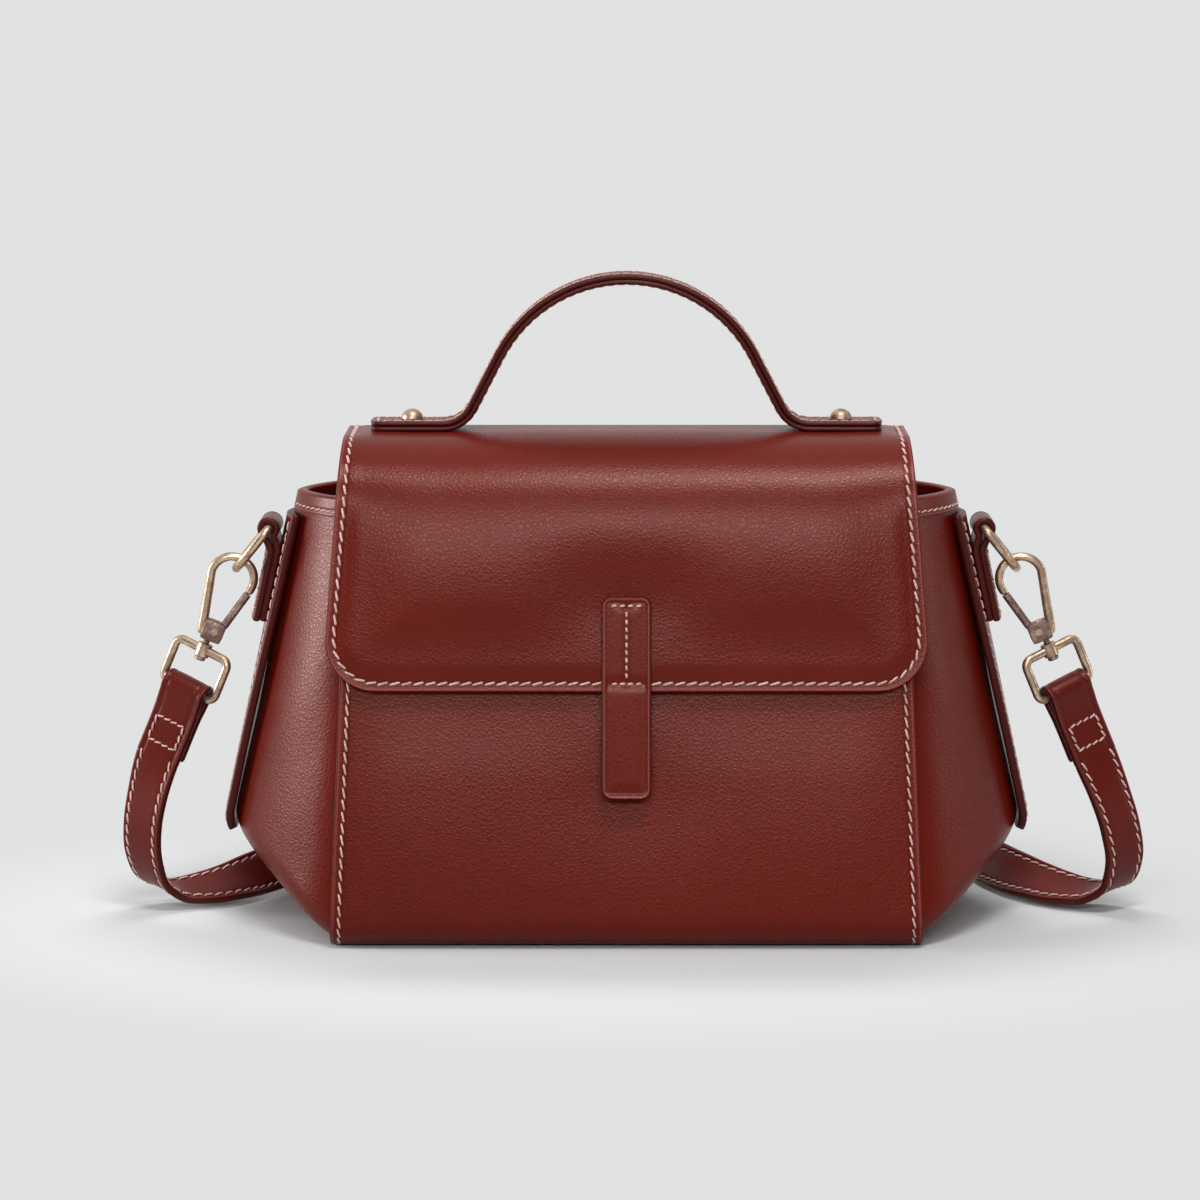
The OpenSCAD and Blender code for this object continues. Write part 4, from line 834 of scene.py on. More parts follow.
STRIP_W, STRIP_T, STRIP_LOW, STRIP_CORNER, STRIP_SEAM = 23.0, 3.0, 34.0, 7.0, 2.6
STRIP_TOP = BODY_H - BINDING_H - 2.6 + FIT
TRIM_DEEP, TRIM_BODY = (0.048, 0.0026, 0.0015, 1.0), (0.095, 0.0058, 0.003, 1.0)
trim_leather = leather_finish("trim_leather", TRIM_DEEP, TRIM_BODY, LIT, STRIP_SEAM, 0.45)


def round_in(corner, past):
    """How far a round corner draws an edge in, past being how far beyond the corner's start."""
    return corner - np.sqrt(np.maximum(corner**2 - np.maximum(past, 0) ** 2, 0))


def corner_edge(x_past, z_past, corner):
    """Distance inwards from an edge with round corners, from how far a point lies past the
    corner's middle both ways: corner - length of what is past - the rest where neither is."""
    outside = np.hypot(np.maximum(x_past, 0), np.maximum(z_past, 0))
    return corner - outside - np.minimum(np.maximum(x_past, z_past), 0)


def ridge_drop(y, z):
    """How far the gusset's face falls from its ridge at y across."""
    return gusset_x(0 * y, z) - gusset_x(y, z)


def strip_off(y, z, off):
    """A point off the strip's underside, which falls from the ridge by a share of the gusset's own
    drop, 0.3 low down and 0.65 high up."""
    follow = 0.3 + 0.35 * smooth(z, 60.0, 150.0)
    x = gusset_x(0 * y, z) - follow * ridge_drop(y, z)
    across = follow * gusset_slopes(y, z)[0]
    rise = gusset_slopes(0 * y, z)[1]
    normal = unit(np.stack([np.ones_like(across), -across, -rise], -1))
    return np.stack([x, y, z + 0 * y], -1) + normal * np.asarray(off)[..., None]


corner_rows = STRIP_LOW + STRIP_CORNER * (1 - np.cos(np.radians(np.linspace(0, 90, 14))))
straight_rows = np.linspace(STRIP_LOW + STRIP_CORNER, STRIP_TOP - 1.5, 60)
strip_z = np.concatenate([corner_rows[:-1], straight_rows, [STRIP_TOP - 0.5, STRIP_TOP]])
strip_half = STRIP_W / 2 - round_in(STRIP_CORNER, STRIP_LOW + STRIP_CORNER - strip_z)
sy = strip_half[:, None] * across_shares(STRIP_W / 2, 1.4)[None, :]
sz = strip_z[:, None] + 0 * sy
strip_past = STRIP_LOW + STRIP_CORNER - sz
strip_edge = corner_edge(np.abs(sy) - STRIP_W / 2 + STRIP_CORNER, strip_past, STRIP_CORNER)
strip_edge = np.maximum(np.minimum(strip_edge, STRIP_TOP - sz), 0)
strip_outer = strip_off(sy, sz, FIT + STRIP_T - seam_dip(strip_edge, 0.15))
strip_inner = strip_off(sy, sz, FIT + 0 * sz)


def strip_seam():
    """The thread's way round the strip: down one side, and round the lower corners to the other."""
    x, z, r = STRIP_W / 2 - STRIP_SEAM, STRIP_LOW + STRIP_SEAM, STRIP_CORNER - STRIP_SEAM
    top = STRIP_TOP - 2.0
    down = np.concatenate([[top], np.linspace(top - 2, z + r + 2, 40)])
    left = np.concatenate([np.stack([0 * down - x, down], 1), arc((-x + r, z + r), r, 180, 270, 9)])
    yz = np.concatenate([left, (left * [-1, 1])[::-1]])
    y, z = yz[:, 0], yz[:, 1]
    place = strip_off(y, z, np.full_like(y, FIT + STRIP_T - 0.12))
    return place, unit(strip_off(y, z, np.full_like(y, 5.0)) - strip_off(y, z, np.zeros_like(y)))


strip_row, strip_up = strip_seam()
for side, flip in SIDES:
    strip = leather_skin(
        "side_strip_leather_" + side, strip_outer * flip, strip_inner * flip, strip_edge, trim_leather
    )
    strip_thread = stitches("side_strip_thread_" + side, [(strip_row * flip, strip_up * flip)], thread)
    for made in (strip, strip_thread):
        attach(made, "root")
    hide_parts("side_strip_" + side)

# The ring tabs: a narrow strap of leather folded round the D-ring's bar, its
# two legs laid together and sewn to the side strip.

WIRE, RUN, TAB_W, TAB_T, TAB_LOW, BAR_Z, TAB_SEAM = 3.3, 0.08, 17.0, 5.0, 112.0, 147.0, 2.4
TAB_LAYER, TAB_FOLLOW = TAB_T / 2 - 0.05, 0.5
strip_stretched = math.sqrt(1 + float(gusset_slopes(np.array(0.0), np.array(BAR_Z))[1]) ** 2)


def strip_face(z):
    """The strip's outer face on the ridge."""
    return gusset_x(np.zeros_like(z), z) + (FIT + STRIP_T) * strip_stretched


BAR_X = float(strip_face(np.array(BAR_Z))) + WIRE / 2 + RUN + TAB_T / 2 + 0.9
leg_z = np.linspace(TAB_LOW + 0.8, BAR_Z - 8.5, 24)
legs = [np.stack([strip_face(leg_z) + FIT + off, leg_z], 1) for off in (TAB_T / 4, TAB_T * 3 / 4)]
tab_loop = arc((BAR_X, BAR_Z), WIRE / 2 + RUN + TAB_T / 4, 232, -52, 34)
tab_line, tab_run = evenly(np.concatenate([legs[0], tab_loop, legs[1][::-1]]), 0.9)
tab_middle = len(tab_line) // 2
tab_normal = line_normals(tab_line, tab_middle, tab_line[tab_middle] - [BAR_X, BAR_Z])
tab_y = (across_shares(TAB_W / 2, 1.5) * (TAB_W / 2 - 0.4))[None, :] + 0 * tab_run[:, None]
tab_follow = TAB_FOLLOW * (1 - smooth(tab_line[:, 1:], BAR_Z - 8.0, BAR_Z - 2.0))
tab_drop = tab_follow * ridge_drop(tab_y, tab_line[:, 1:])
tab_ends = np.minimum(tab_run, tab_run[-1] - tab_run)[:, None]
tab_edge = np.minimum(TAB_W / 2 - np.abs(tab_y), tab_ends)


def tab_grid(off):
    """The tab's face off its middle line, bent with the ridge where it lies on the strip."""
    flat = tab_line[:, None] + tab_normal[:, None] * off[..., None]
    return np.stack([flat[..., 0] - tab_drop, tab_y, flat[..., 1]], -1)


def tab_row(y, z):
    """A row of thread on the tab's face."""
    x = strip_face(z) + FIT + TAB_T - 0.1 - TAB_FOLLOW * ridge_drop(y, z)
    return np.stack([x, y, z], 1), np.tile([0.95, 0.0, 0.2], (len(z), 1))


tab_outer = tab_grid(TAB_LAYER / 2 - seam_dip(tab_edge, 0.12, TAB_SEAM, 1.0))
tab_inner = tab_grid(-TAB_LAYER / 2 + 0 * tab_edge)
sewn_y, sewn_z = TAB_W / 2 - TAB_SEAM, (TAB_LOW + 2.6, BAR_Z - 9.5)
tab_rows = [tab_row(np.full(30, k * sewn_y), np.linspace(*sewn_z, 30)) for k in (-1, 1)]
tab_rows += [tab_row(np.linspace(-sewn_y, sewn_y, 12), np.full(12, z)) for z in sewn_z]
for side, flip in SIDES:
    tab = leather_skin(
        "ring_tab_leather_" + side, tab_outer * flip, tab_inner * flip, tab_edge, trim_leather
    )
    tab_seams = [(a * flip, b * flip) for a, b in tab_rows]
    tab_thread = stitches("ring_tab_thread_" + side, tab_seams, thread, 3.6)
    for made in (tab, tab_thread):
        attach(made, "root")
    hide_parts("ring_tab_" + side)

# The strap ends: the strap folded over the swivel ring's lower bar and sewn
# down to itself with a small box of thread, the cut end lying underneath.

BOX_TOP, BOX_LOW, BOX_HALF = FOLD_Z - 13.0, FOLD_Z - 22.5, STRAP_W / 2 - 3.0
fold_r, leg_out = WIRE / 2 + 0.35 + STRAP_T / 2, (FOLD_GAP + STRAP_T) / 2
fold_side = np.array(
    [[leg_out + 0.9, FOLD_Z - 5.0], [leg_out + 0.15, FOLD_Z - 9.0], [leg_out, FOLD_Z - 12.0]]
)
fold_stops = np.concatenate(
    [
        [[-leg_out, STRAP_ON_Z - 0.4]],
        (fold_side * [-1, 1])[::-1],
        arc((0.0, FOLD_Z), fold_r, 208, -28, 30),
        fold_side,
        [[leg_out, FOLD_Z - FOLD_LENGTH + 0.6]],
    ]
)
fold_line, fold_run = evenly(through(fold_stops, 0.9), 0.9)
fold_middle = len(fold_line) // 2
fold_normal = line_normals(fold_line, fold_middle, fold_line[fold_middle] - [0.0, FOLD_Z])
fold_cut = (fold_run[-1] - fold_run)[:, None]
fold_x = (STRAP_W - STRAP_T * 0.5) / 2 * band_shares(18)[None, :] + 0 * fold_cut
fold_edge = np.minimum(STRAP_W / 2 - np.abs(fold_x), fold_cut)


def fold_grid(off):
    """The folded strap's face off its middle line, in the row frame."""
    flat = fold_line[:, None] + fold_normal[:, None] * off[..., None]
    return from_ring(np.stack([fold_x, flat[..., 0], flat[..., 1]], -1))


def box_rows(face, up):
    """A rectangle of thread on one face of the folded strap, its corners joined in turn."""
    x = BOX_HALF * np.array([-1, 1, 1, -1, -1])
    z = np.array([BOX_TOP, BOX_TOP, BOX_LOW, BOX_LOW, BOX_TOP])
    turn = from_ring(np.tile([0.0, up, 0.0], (8, 1))) - HOOK_PLACE
    rows = []
    for k in range(4):
        side = [np.linspace(x[k], x[k + 1], 8), np.full(8, face), np.linspace(z[k], z[k + 1], 8)]
        rows.append((from_ring(np.stack(side, 1)), turn))
    return rows


fold_outer = fold_grid(STRAP_T / 2 - seam_dip(fold_edge, 0.12))
fold_inner = fold_grid(-STRAP_T / 2 + 0.03 + 0 * fold_edge)
fold_face = leg_out + STRAP_T / 2 - 0.1
fold_rows = box_rows(-fold_face, -1.0) + box_rows(fold_face, 1.0)
for side, flip in SIDES:
    folded = leather_skin(
        "strap_end_leather_" + side, fold_outer * flip, fold_inner * flip, fold_edge, strap_leather
    )
    box = [(a * flip, b * flip) for a, b in fold_rows]
    folded_thread = stitches("strap_end_thread_" + side, box, thread, 3.1)
    for made in (folded, folded_thread):
        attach(made, "strap_end_" + side)
    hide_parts("strap_end_" + side)

# The hardware: cast snap hooks with a sprung gate, swivel rings and D-rings of
# round wire, all in antique brass that is pale with a brown patina in patches.
# The hook's body here has the cast form: a tapering crook.


def brass_finish(name, pale, brown, patina, rough=0.24):
    """Antiqued brass: pale where it is rubbed, with a brown patina in patches a few millimetres wide."""
    finish = Finish(name)
    place = finish.place()
    patches = finish.noise(place, 210.0, 4.0, 0.62)
    fine = finish.noise(place, 2400.0)
    share = (1.0 - (patches + (fine - 0.5) * 0.25).ramp(0.36, 0.68)) * patina
    return finish.principled(
        Base_Color=finish.mix(share, pale, brown),
        Metallic=1.0,
        Roughness=rough + share * 0.3 + fine * 0.06,
        Normal=finish.bump(fine * 0.4 + patches, 0.00004, 0.5),
    )


brass = brass_finish("antique_brass", (0.70, 0.53, 0.37, 1.0), (0.22, 0.115, 0.085, 1.0), 0.7)
brown_brass = brass_finish("brown_brass", (0.42, 0.29, 0.235, 1.0), (0.11, 0.058, 0.05, 1.0), 0.8, 0.34)
steel = brass_finish("steel", (0.52, 0.52, 0.53, 1.0), (0.2, 0.2, 0.21, 1.0), 0.4, 0.3)


def closed_rings(grid):
    """A closed form from rings of points, its faces pointing outwards."""
    points = grid.reshape(-1, 3)
    return points, *faced_out(points, *ring_faces(*grid.shape[:2]))


def tube(line, radius, sides=20):
    """A round bar of changing radius along a line, its ends closed by quarter-round tips: the radius
    there shrinks as cos(t) while the line runs on by radius * sin(t)."""
    way = unit(np.gradient(line, axis=0))
    t = np.linspace(0, 0.47 * np.pi, 6)[1:]
    tail = line[-1] + way[-1] * (radius[-1] * np.sin(t))[:, None]
    head = line[0] - way[0] * (radius[0] * np.sin(t[::-1]))[:, None]
    radius = np.concatenate([radius[0] * np.cos(t[::-1]), radius, radius[-1] * np.cos(t)])
    line = np.concatenate([head, line, tail])
    way = np.concatenate([np.repeat(way[:1], 5, 0), way, np.repeat(way[-1:], 5, 0)])
    side = unit(np.cross(way, [0.0, 1.0, 0.0]))
    rise = np.cross(side, way)
    turn = (2 * np.pi * np.arange(sides) / sides)[None, :, None]
    ring = side[:, None] * np.cos(turn) + rise[:, None] * np.sin(turn)
    return closed_rings(line[:, None] + radius[:, None, None] * ring)


def rounded_block(middle, size, power, count=22):
    """A block with soft edges: a sphere's directions pushed out until x^n + y^n + z^n is 1, n being
    power, and scaled to size."""
    u = np.linspace(0, 2 * np.pi, 2 * count, endpoint=False)
    v = np.linspace(-np.pi / 2 + 0.02, np.pi / 2 - 0.02, count)
    v, u = np.meshgrid(v, u, indexing="ij")
    d = np.stack([np.cos(v) * np.cos(u), np.cos(v) * np.sin(u), np.sin(v)], -1)
    d = d / (np.abs(d) ** power).sum(-1, keepdims=True) ** (1 / power)
    return closed_rings(np.asarray(middle) + d * np.asarray(size) / 2)


def turned(profile, sides=28):
    """A turned form: pairs of radius and height carried round the local Z axis, closed at both ends."""
    r, z = np.asarray(profile, float)[:, :, None].transpose(1, 0, 2)
    turn = 2 * np.pi * np.arange(sides)[None, :] / sides
    r = np.maximum(r, 0.02)
    return closed_rings(np.stack([r * np.cos(turn), r * np.sin(turn), z + 0 * turn], -1))


def joined(name, parts, finish, sharp=40):
    """Several closed meshes as one piece."""
    points, quads, triangles, start = [], [], [], 0
    for p, q, t in parts:
        points.append(p)
        quads.append(q + start)
        triangles.append(t + start)
        start += len(p)
    return make_piece(name, *(np.concatenate(x) for x in (points, quads, triangles)), finish, None, sharp)


def clad(node, metal):
    """Gives a CAD node its metal."""
    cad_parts[node].data.materials.clear()
    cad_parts[node].data.materials.append(metal)


ARCH_R, ARCH_Z, NOSE_ANGLE, HOOK_D = 8.1, 21.2, 194.5, 3.2
STEM_D, COLLAR_D, STEM_LOW, HEAD_H = 2.4, 4.2, -10.55, 1.55
BLOCK_X, BLOCK_W, BLOCK_D, BLOCK_H, GATE_SLOT = -0.9, 8.0, 6.4, 7.4, 3.0
spine = np.stack([np.linspace(3.2, ARCH_R, 16), np.linspace(-1.0, ARCH_Z, 16)], 1)
hook_xz = np.concatenate([spine[:-1], arc((0.0, ARCH_Z), ARCH_R, 0, NOSE_ANGLE, 36)])
hook_line = np.stack([hook_xz[:, 0], 0 * hook_xz[:, 0], hook_xz[:, 1]], 1)
hook_run = np.linspace(0, 1, len(hook_xz))
hook_taper = 1.0 + 0.12 * (1 - smooth(hook_run, 0.0, 0.35)) - 0.06 * smooth(hook_run, 0.8, 1.0)
head_low = STEM_LOW - HEAD_H
stem = [
    (STEM_D / 2, -BLOCK_H / 2 + 0.5),
    (STEM_D / 2, STEM_LOW),
    (COLLAR_D / 2 - 0.2, STEM_LOW - 0.05),
    (COLLAR_D / 2, STEM_LOW - 0.35),
    (COLLAR_D / 2, head_low + 0.35),
    (COLLAR_D / 2 - 0.3, head_low),
    (0.02, head_low),
]


def cheeked_block():
    """The block as two cheeks, a floor and a back, so that the gate's slot stays open."""
    cheek = (BLOCK_D - GATE_SLOT) / 2
    floor_h = STEM_D / 2
    sizes = [((BLOCK_X, k * (BLOCK_D - cheek) / 2, 0.0), (BLOCK_W, cheek, BLOCK_H), 7.0) for k in (-1, 1)]
    floor_size = (BLOCK_W - 0.4, BLOCK_D - 0.5, floor_h)
    sizes.append(((BLOCK_X, 0, (floor_h - BLOCK_H) / 2), floor_size, 8.0))
    sizes.append(((2.3, 0, 0.2), (1.7, BLOCK_D - 0.5, BLOCK_H - 0.6), 6.0))
    return [rounded_block(*size) for size in sizes]


for side, flip in SIDES:
    crook = tube(from_hook(hook_line) * flip, HOOK_D / 2 * hook_taper)
    hook_piece = joined("hook_crook_" + side, [crook], brass)
    block_parts = [(from_hook(p) * flip, q, t) for p, q, t in [*cheeked_block(), turned(stem)]]
    block_parts = [(p, *faced_out(p, q, t)) for p, q, t in block_parts]
    block_piece = joined("hook_block_" + side, block_parts, brown_brass)
    for made in (hook_piece, block_piece):
        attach(made, "hook_" + side)
    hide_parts("hook_" + side)
    clad("gate_" + side, brown_brass)
    clad("gate_spring_" + side, steel)
    for node in ("gate_rivet_", "dring_", "swivel_ring_"):
        clad(node + side, brass)
for node, metal in (("rivet_washers", brown_brass), ("magnet_stud", brass), ("magnet_socket", brass)):
    clad(node, metal)
clad("magnet_plate", steel)

# The flap: one piece of leather that starts sewn outside the back panel, bends
# over the mouth and falls down the front. A stiffener fills its field, so the
# stitched border lies a little lower, and a thin lining closes it inside.

FLAP_TOP_W, FLAP_LOW_W, CROWN_Z, FLAP_LOW_Z, SHOULDER_R, FLAP_CORNER = 207.0, 217.4, 182.0, 93.4, 28.0, 18.0
FLAP_SKIN, FLAP_T, TAIL_H, TAIL_SIDE, TAIL_CORNER = 1.7, 3.5, 18.0, 6.0, 8.0
PILLOW, PILLOW_RUN, HANDLE_X = 2.6, 92.0, 74.0
front_off = -(FLAP_T + 0.6)
hinge_z = BACK_Z + 0.35 + FLAP_T / 2
shoulder_z = CROWN_Z - SHOULDER_R
shoulder_y = -wall_y(shoulder_z, front_off + SHOULDER_R)
rear_r = CROWN_Z - hinge_z
rear_y = wall_y(BACK_Z, WRAP_T / 2) + FLAP_T / 2 - rear_r


def flap_curve(end):
    """The flap's line in the YZ plane: up the front, round the shoulder, over the crown, and round
    the rear bend to an angle in degrees."""
    return np.concatenate(
        [
            [[-wall_y(FLAP_LOW_Z, front_off), FLAP_LOW_Z]],
            arc((shoulder_y, shoulder_z), SHOULDER_R, 180 - lean_deg, 90, 120),
            arc((rear_y, hinge_z), rear_r, 90, end, 60),
        ]
    )


tail_z = np.linspace(BACK_Z - 4.4, BACK_Z - 2.4 - TAIL_H, 8)
flap_tail = np.stack([wall_y(tail_z, -FIT - FLAP_SKIN), tail_z], 1)
flap_line, flap_run = evenly(np.concatenate([flap_curve(2), flap_tail]), 2.0)
flap_total = flap_run[-1]
flap_normal = line_normals(flap_line, 0, (-1, 0))


def flap_half(run, z):
    """Half the flap's width: wider to its lower edge, and narrowed to the tail behind the hinge."""
    flare = np.clip((CROWN_Z - z) / (CROWN_Z - FLAP_LOW_Z - FLAP_CORNER), 0, 1)
    flare = flare * (1 - smooth(run, flap_total - 60.0, flap_total - 45.0))
    behind = smooth(run, flap_total - TAIL_H - 11.0, flap_total - TAIL_H + 6.0)
    free = FLAP_TOP_W / 2 + (FLAP_LOW_W - FLAP_TOP_W) / 2 * flare
    return free * (1 - behind) + (panel_half(BACK_Z) - TAIL_SIDE) * behind


flap_wide = flap_half(flap_run, flap_line[:, 1])
flap_limit = flap_wide - round_in(FLAP_CORNER, FLAP_CORNER - flap_run)
flap_limit = flap_limit - round_in(TAIL_CORNER, TAIL_CORNER - (flap_total - flap_run))
fx = flap_limit[:, None] * across_shares(FLAP_LOW_W / 2)[None, :]
f_run, f_y, f_z = flap_run[:, None], flap_line[:, :1], flap_line[:, 1:]
f_front = f_y < 0
flap_edge = corner_edge(np.abs(fx) - flap_wide[:, None] + FLAP_CORNER, FLAP_CORNER - f_run, FLAP_CORNER)
flap_edge = np.maximum(np.minimum(flap_edge, flap_total - f_run), 0)


def shoulder_ease():
    """How far to lift the line so that its bend starts gently: the line averaged over its
    neighbours by a bell curve, less the line itself, round the shoulder alone."""
    reach = 14
    bell = np.exp(-((np.arange(-reach, reach + 1) / 4.0) ** 2) / 2)
    bell = bell / bell.sum()
    eased = [
        np.convolve(np.pad(column, reach, "reflect", reflect_type="odd"), bell, "valid")
        for column in flap_line.T
    ]
    lift = ((np.stack(eased, 1) - flap_line) * flap_normal).sum(1)
    return (lift * smooth(flap_run, 16, 34) * (1 - smooth(flap_run, 104, 122)))[:, None]


# The field stands up inside the stitched border, fullest halfway up the front, and is held down
# round the closure tab. It is pressed in above and behind the tab and round the handle's feet.
field = smooth(flap_edge, 3.6, 9.5) * smooth(flap_total - f_run, 30, 48)
dent = 0.35 * f_front * np.exp(-((fx / 26.0) ** 2) - ((f_z - 132.0) / 15.0) ** 2)
dent = dent + 0.35 * f_front * np.exp(-((fx / 9.5) ** 4) - ((f_z - 110.0) / 18.0) ** 4)
feet = np.exp(-(((np.abs(fx) - HANDLE_X) / 30.0) ** 2) - ((f_y - 6.0) / 14.0) ** 2)
dent = dent + 0.5 * (f_z > 170) * feet
held = np.exp(-((np.maximum(np.abs(fx) - 9.0, 0) / 22.0) ** 2)) * (1 - smooth(f_z, 116, 158))
pillow = np.sin(np.pi * np.clip(f_run / PILLOW_RUN, 0, 1)) ** 2 * smooth(flap_edge, 3, 34) * (1 - held)
swell = smooth(flap_edge, 8, 40) * 0.5 * soft_waves(21, fx, f_run, 95.0)
flap_rise = field * (0.75 + shoulder_ease() - dent) + PILLOW * pillow + np.minimum(swell, 0.25) * f_front
flap_rise = flap_rise - seam_dip(flap_edge, 0.3, SEAM_IN, 1.3) - 0.1
flap_rise = np.where(f_front, flap_rise, np.minimum(flap_rise, 0.1))
flap_leather = leather_skin(
    "flap_leather",
    lifted(fx, flap_line, flap_normal, flap_rise),
    lifted(fx, flap_line, flap_normal, 0.05 - FLAP_SKIN),
    flap_edge,
    body_leather,
)


def flap_border():
    """The seam's way round the flap, as place across and run along the flap: down one side, round
    both lower corners, up the other."""
    r = FLAP_CORNER - SEAM_IN
    runs = np.linspace(flap_total - TAIL_H - 14.0, FLAP_CORNER, 120)
    half = np.interp(runs, flap_run, flap_wide) - SEAM_IN
    corner_x = np.interp(FLAP_CORNER, flap_run, flap_wide) - FLAP_CORNER
    t = np.radians(np.linspace(0, 90, 12))[1:]
    turn_x, turn_run = corner_x + r * np.cos(t), FLAP_CORNER - r * np.sin(t)
    low = np.linspace(corner_x - 2, -corner_x + 2, 90)
    x = np.concatenate([half, turn_x, low, -turn_x[::-1], -half[::-1]])
    run = np.concatenate([runs, turn_run, np.full(90, SEAM_IN), turn_run[::-1], runs[::-1]])
    return x, run


def on_flap(x, run, rise):
    """Points and outward directions on the flap's face."""
    up = unit(read_at(run, flap_run, flap_normal))
    place = read_at(run, flap_run, flap_line) + up * rise
    return np.concatenate([x[:, None], place], 1), np.concatenate([np.zeros((len(x), 1)), up], 1)


tail_x = np.linspace(-88.0, 88.0, 90)
tail_rows = [on_flap(tail_x, np.full(90, flap_total - inset), -0.12) for inset in (2.7, 13.5)]
flap_seams = [on_flap(*flap_border(), -0.3), *tail_rows]
flap_thread = stitches("flap_thread", flap_seams, thread, STITCH_PITCH, 0.43, 15.0)
for made in (flap_leather, flap_thread):
    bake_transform(made)
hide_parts("flap", "flap_tail")


def flap_layer(name, low, high, inset, finish):
    """An inner layer of the flap between two depths, set in from the edge, with round lower corners."""
    line, run = evenly(flap_curve(25), 3.0)
    line, run = line[run >= inset], run[run >= inset]
    normal = line_normals(line, 0, (-1, 0))
    wide = np.interp(run, flap_run, flap_half(flap_run, flap_line[:, 1])) - inset
    r, past = FLAP_CORNER - inset, np.maximum(FLAP_CORNER - run, 0)
    limit = (wide - (r - np.sqrt(np.maximum(r**2 - past**2, 0))))[:, None]
    x = limit * across_shares(100.0, 3.0)[None, :]
    edge = np.minimum(limit - np.abs(x), INLAND)
    outer, inner = (lifted(x, line, normal, -off) for off in (high, low))
    piece = leather_skin(name, outer, inner, edge, finish, 0.3, 3)
    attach(piece, "flap")
    return piece


def board_finish():
    """Grey-brown leather board, pressed fibres with a dull face."""
    finish = Finish("board")
    place = finish.place()
    fibres = finish.noise(place, 900.0, 4.0, 0.7)
    drift = finish.noise(place, 40.0)
    dark, pale = (0.15, 0.115, 0.08, 1.0), (0.30, 0.245, 0.18, 1.0)
    return finish.principled(
        Base_Color=finish.mix(fibres * 0.6 + drift * 0.4, dark, pale),
        Roughness=0.82 + fibres * 0.1,
        Normal=finish.bump(fibres, 0.0001),
    )


def suede_finish(name, dark, pale):
    """Dyed microsuede lining: a short soft nap that shows as fine mottling."""
    finish = Finish(name)
    place = finish.place()
    nap = finish.noise(place, 1500.0, 3.0, 0.7)
    brushed = finish.noise(place, 55.0, 3.0)
    return finish.principled(
        Base_Color=finish.mix((nap * 0.5 + brushed * 0.5).ramp(0.3, 0.7), dark, pale),
        Roughness=0.88,
        Normal=finish.bump(nap, 0.00016),
    )


board = board_finish()
suede = suede_finish("lining_suede", (0.028, 0.012, 0.010, 1.0), (0.060, 0.028, 0.023, 1.0))
flap_suede = suede_finish("flap_suede", (0.045, 0.012, 0.009, 1.0), (0.085, 0.024, 0.018, 1.0))
stiffener = flap_layer("flap_stiffener_board", FLAP_SKIN + 0.1, FLAP_T - 0.9, 5.0, board)
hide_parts("flap_stiffener")
under = flap_layer("flap_lining_suede", FLAP_T - 0.8, FLAP_T, 0.9, flap_suede)
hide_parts("flap_lining")

# The handle: two straps of leather laid together with a painted line between,
# bent into an arch with flat feet, sewn along both edges and held on the flap
# by a domed brass rivet through each foot.

HANDLE_Z, HANDLE_W, HANDLE_T, HANDLE_ARCH, HANDLE_SLOPE, HANDLE_FOOT = 240.4, 16.0, 1.9, 55.0, 62.5, 10.0
FEET_SPAN, RIVET_SPAN, LAYER_GAP, FOOT_CORNER, HANDLE_SEAM, END_SEAM = 189.4, 159.0, 0.1, 2.5, 2.4, 2.6
handle_y = (shoulder_y + rear_y) / 2
foot_top = CROWN_Z + 2 * HANDLE_T + 2 * LAYER_GAP
arch_z = HANDLE_Z - HANDLE_ARCH
slope = math.radians(HANDLE_SLOPE)
arch_end = (HANDLE_ARCH * math.sin(slope), arch_z + HANDLE_ARCH * math.cos(slope))
foot_drop = (foot_top + HANDLE_FOOT - arch_end[1]) * math.cos(slope)
foot_x = arch_end[0] + (HANDLE_FOOT - foot_drop) / math.sin(slope)
handle_side = np.concatenate(
    [
        [[FEET_SPAN / 2 - 0.5, foot_top]],
        arc((foot_x, foot_top + HANDLE_FOOT), HANDLE_FOOT, 270, 270 - HANDLE_SLOPE, 16),
        arc((0.0, arch_z), HANDLE_ARCH, 90 - HANDLE_SLOPE, 90, 40),
    ]
)
handle_line, handle_run = evenly(np.concatenate([handle_side, (handle_side * [-1, 1])[-2::-1]]), 1.8)
handle_normal = line_normals(handle_line, len(handle_line) // 2, (0, 1))
handle_end = np.minimum(handle_run, handle_run[-1] - handle_run)


def off_handle(y, off, part=slice(None)):
    """Points y across and off under the handle's upper face, for some or all rows of its line."""
    flat = handle_line[part, None] - handle_normal[part, None] * off[..., None]
    return np.stack([flat[..., 0], handle_y + y, flat[..., 1]], -1)


def handle_strap(name, low, high):
    """One layer of the handle, between two depths under its upper face, pressed in at the seams."""
    half = (HANDLE_W - 0.9) / 2 - round_in(FOOT_CORNER, FOOT_CORNER - handle_end)
    y = half[:, None] * band_shares(20)[None, :]
    edge = np.minimum(HANDLE_W / 2 - np.abs(y), handle_end[:, None])
    outer = off_handle(y, low + seam_dip(edge, 0.14, HANDLE_SEAM, 1.0))
    return leather_skin(name, outer, off_handle(y, high + 0 * edge), edge, trim_leather, 0.75)


def handle_row(k, off, up):
    """A row of thread along one edge: the upper face from end to end, the lower one over the arch."""
    part = (handle_end > END_SEAM) & ((up > 0) | (np.abs(handle_line[:, 0]) < foot_x - 4))
    y = np.full((part.sum(), 1), k * (HANDLE_W / 2 - HANDLE_SEAM))
    turn = np.insert(handle_normal[part] * up, 1, 0.0, axis=1)
    return off_handle(y, off + 0 * y, part)[:, 0], turn


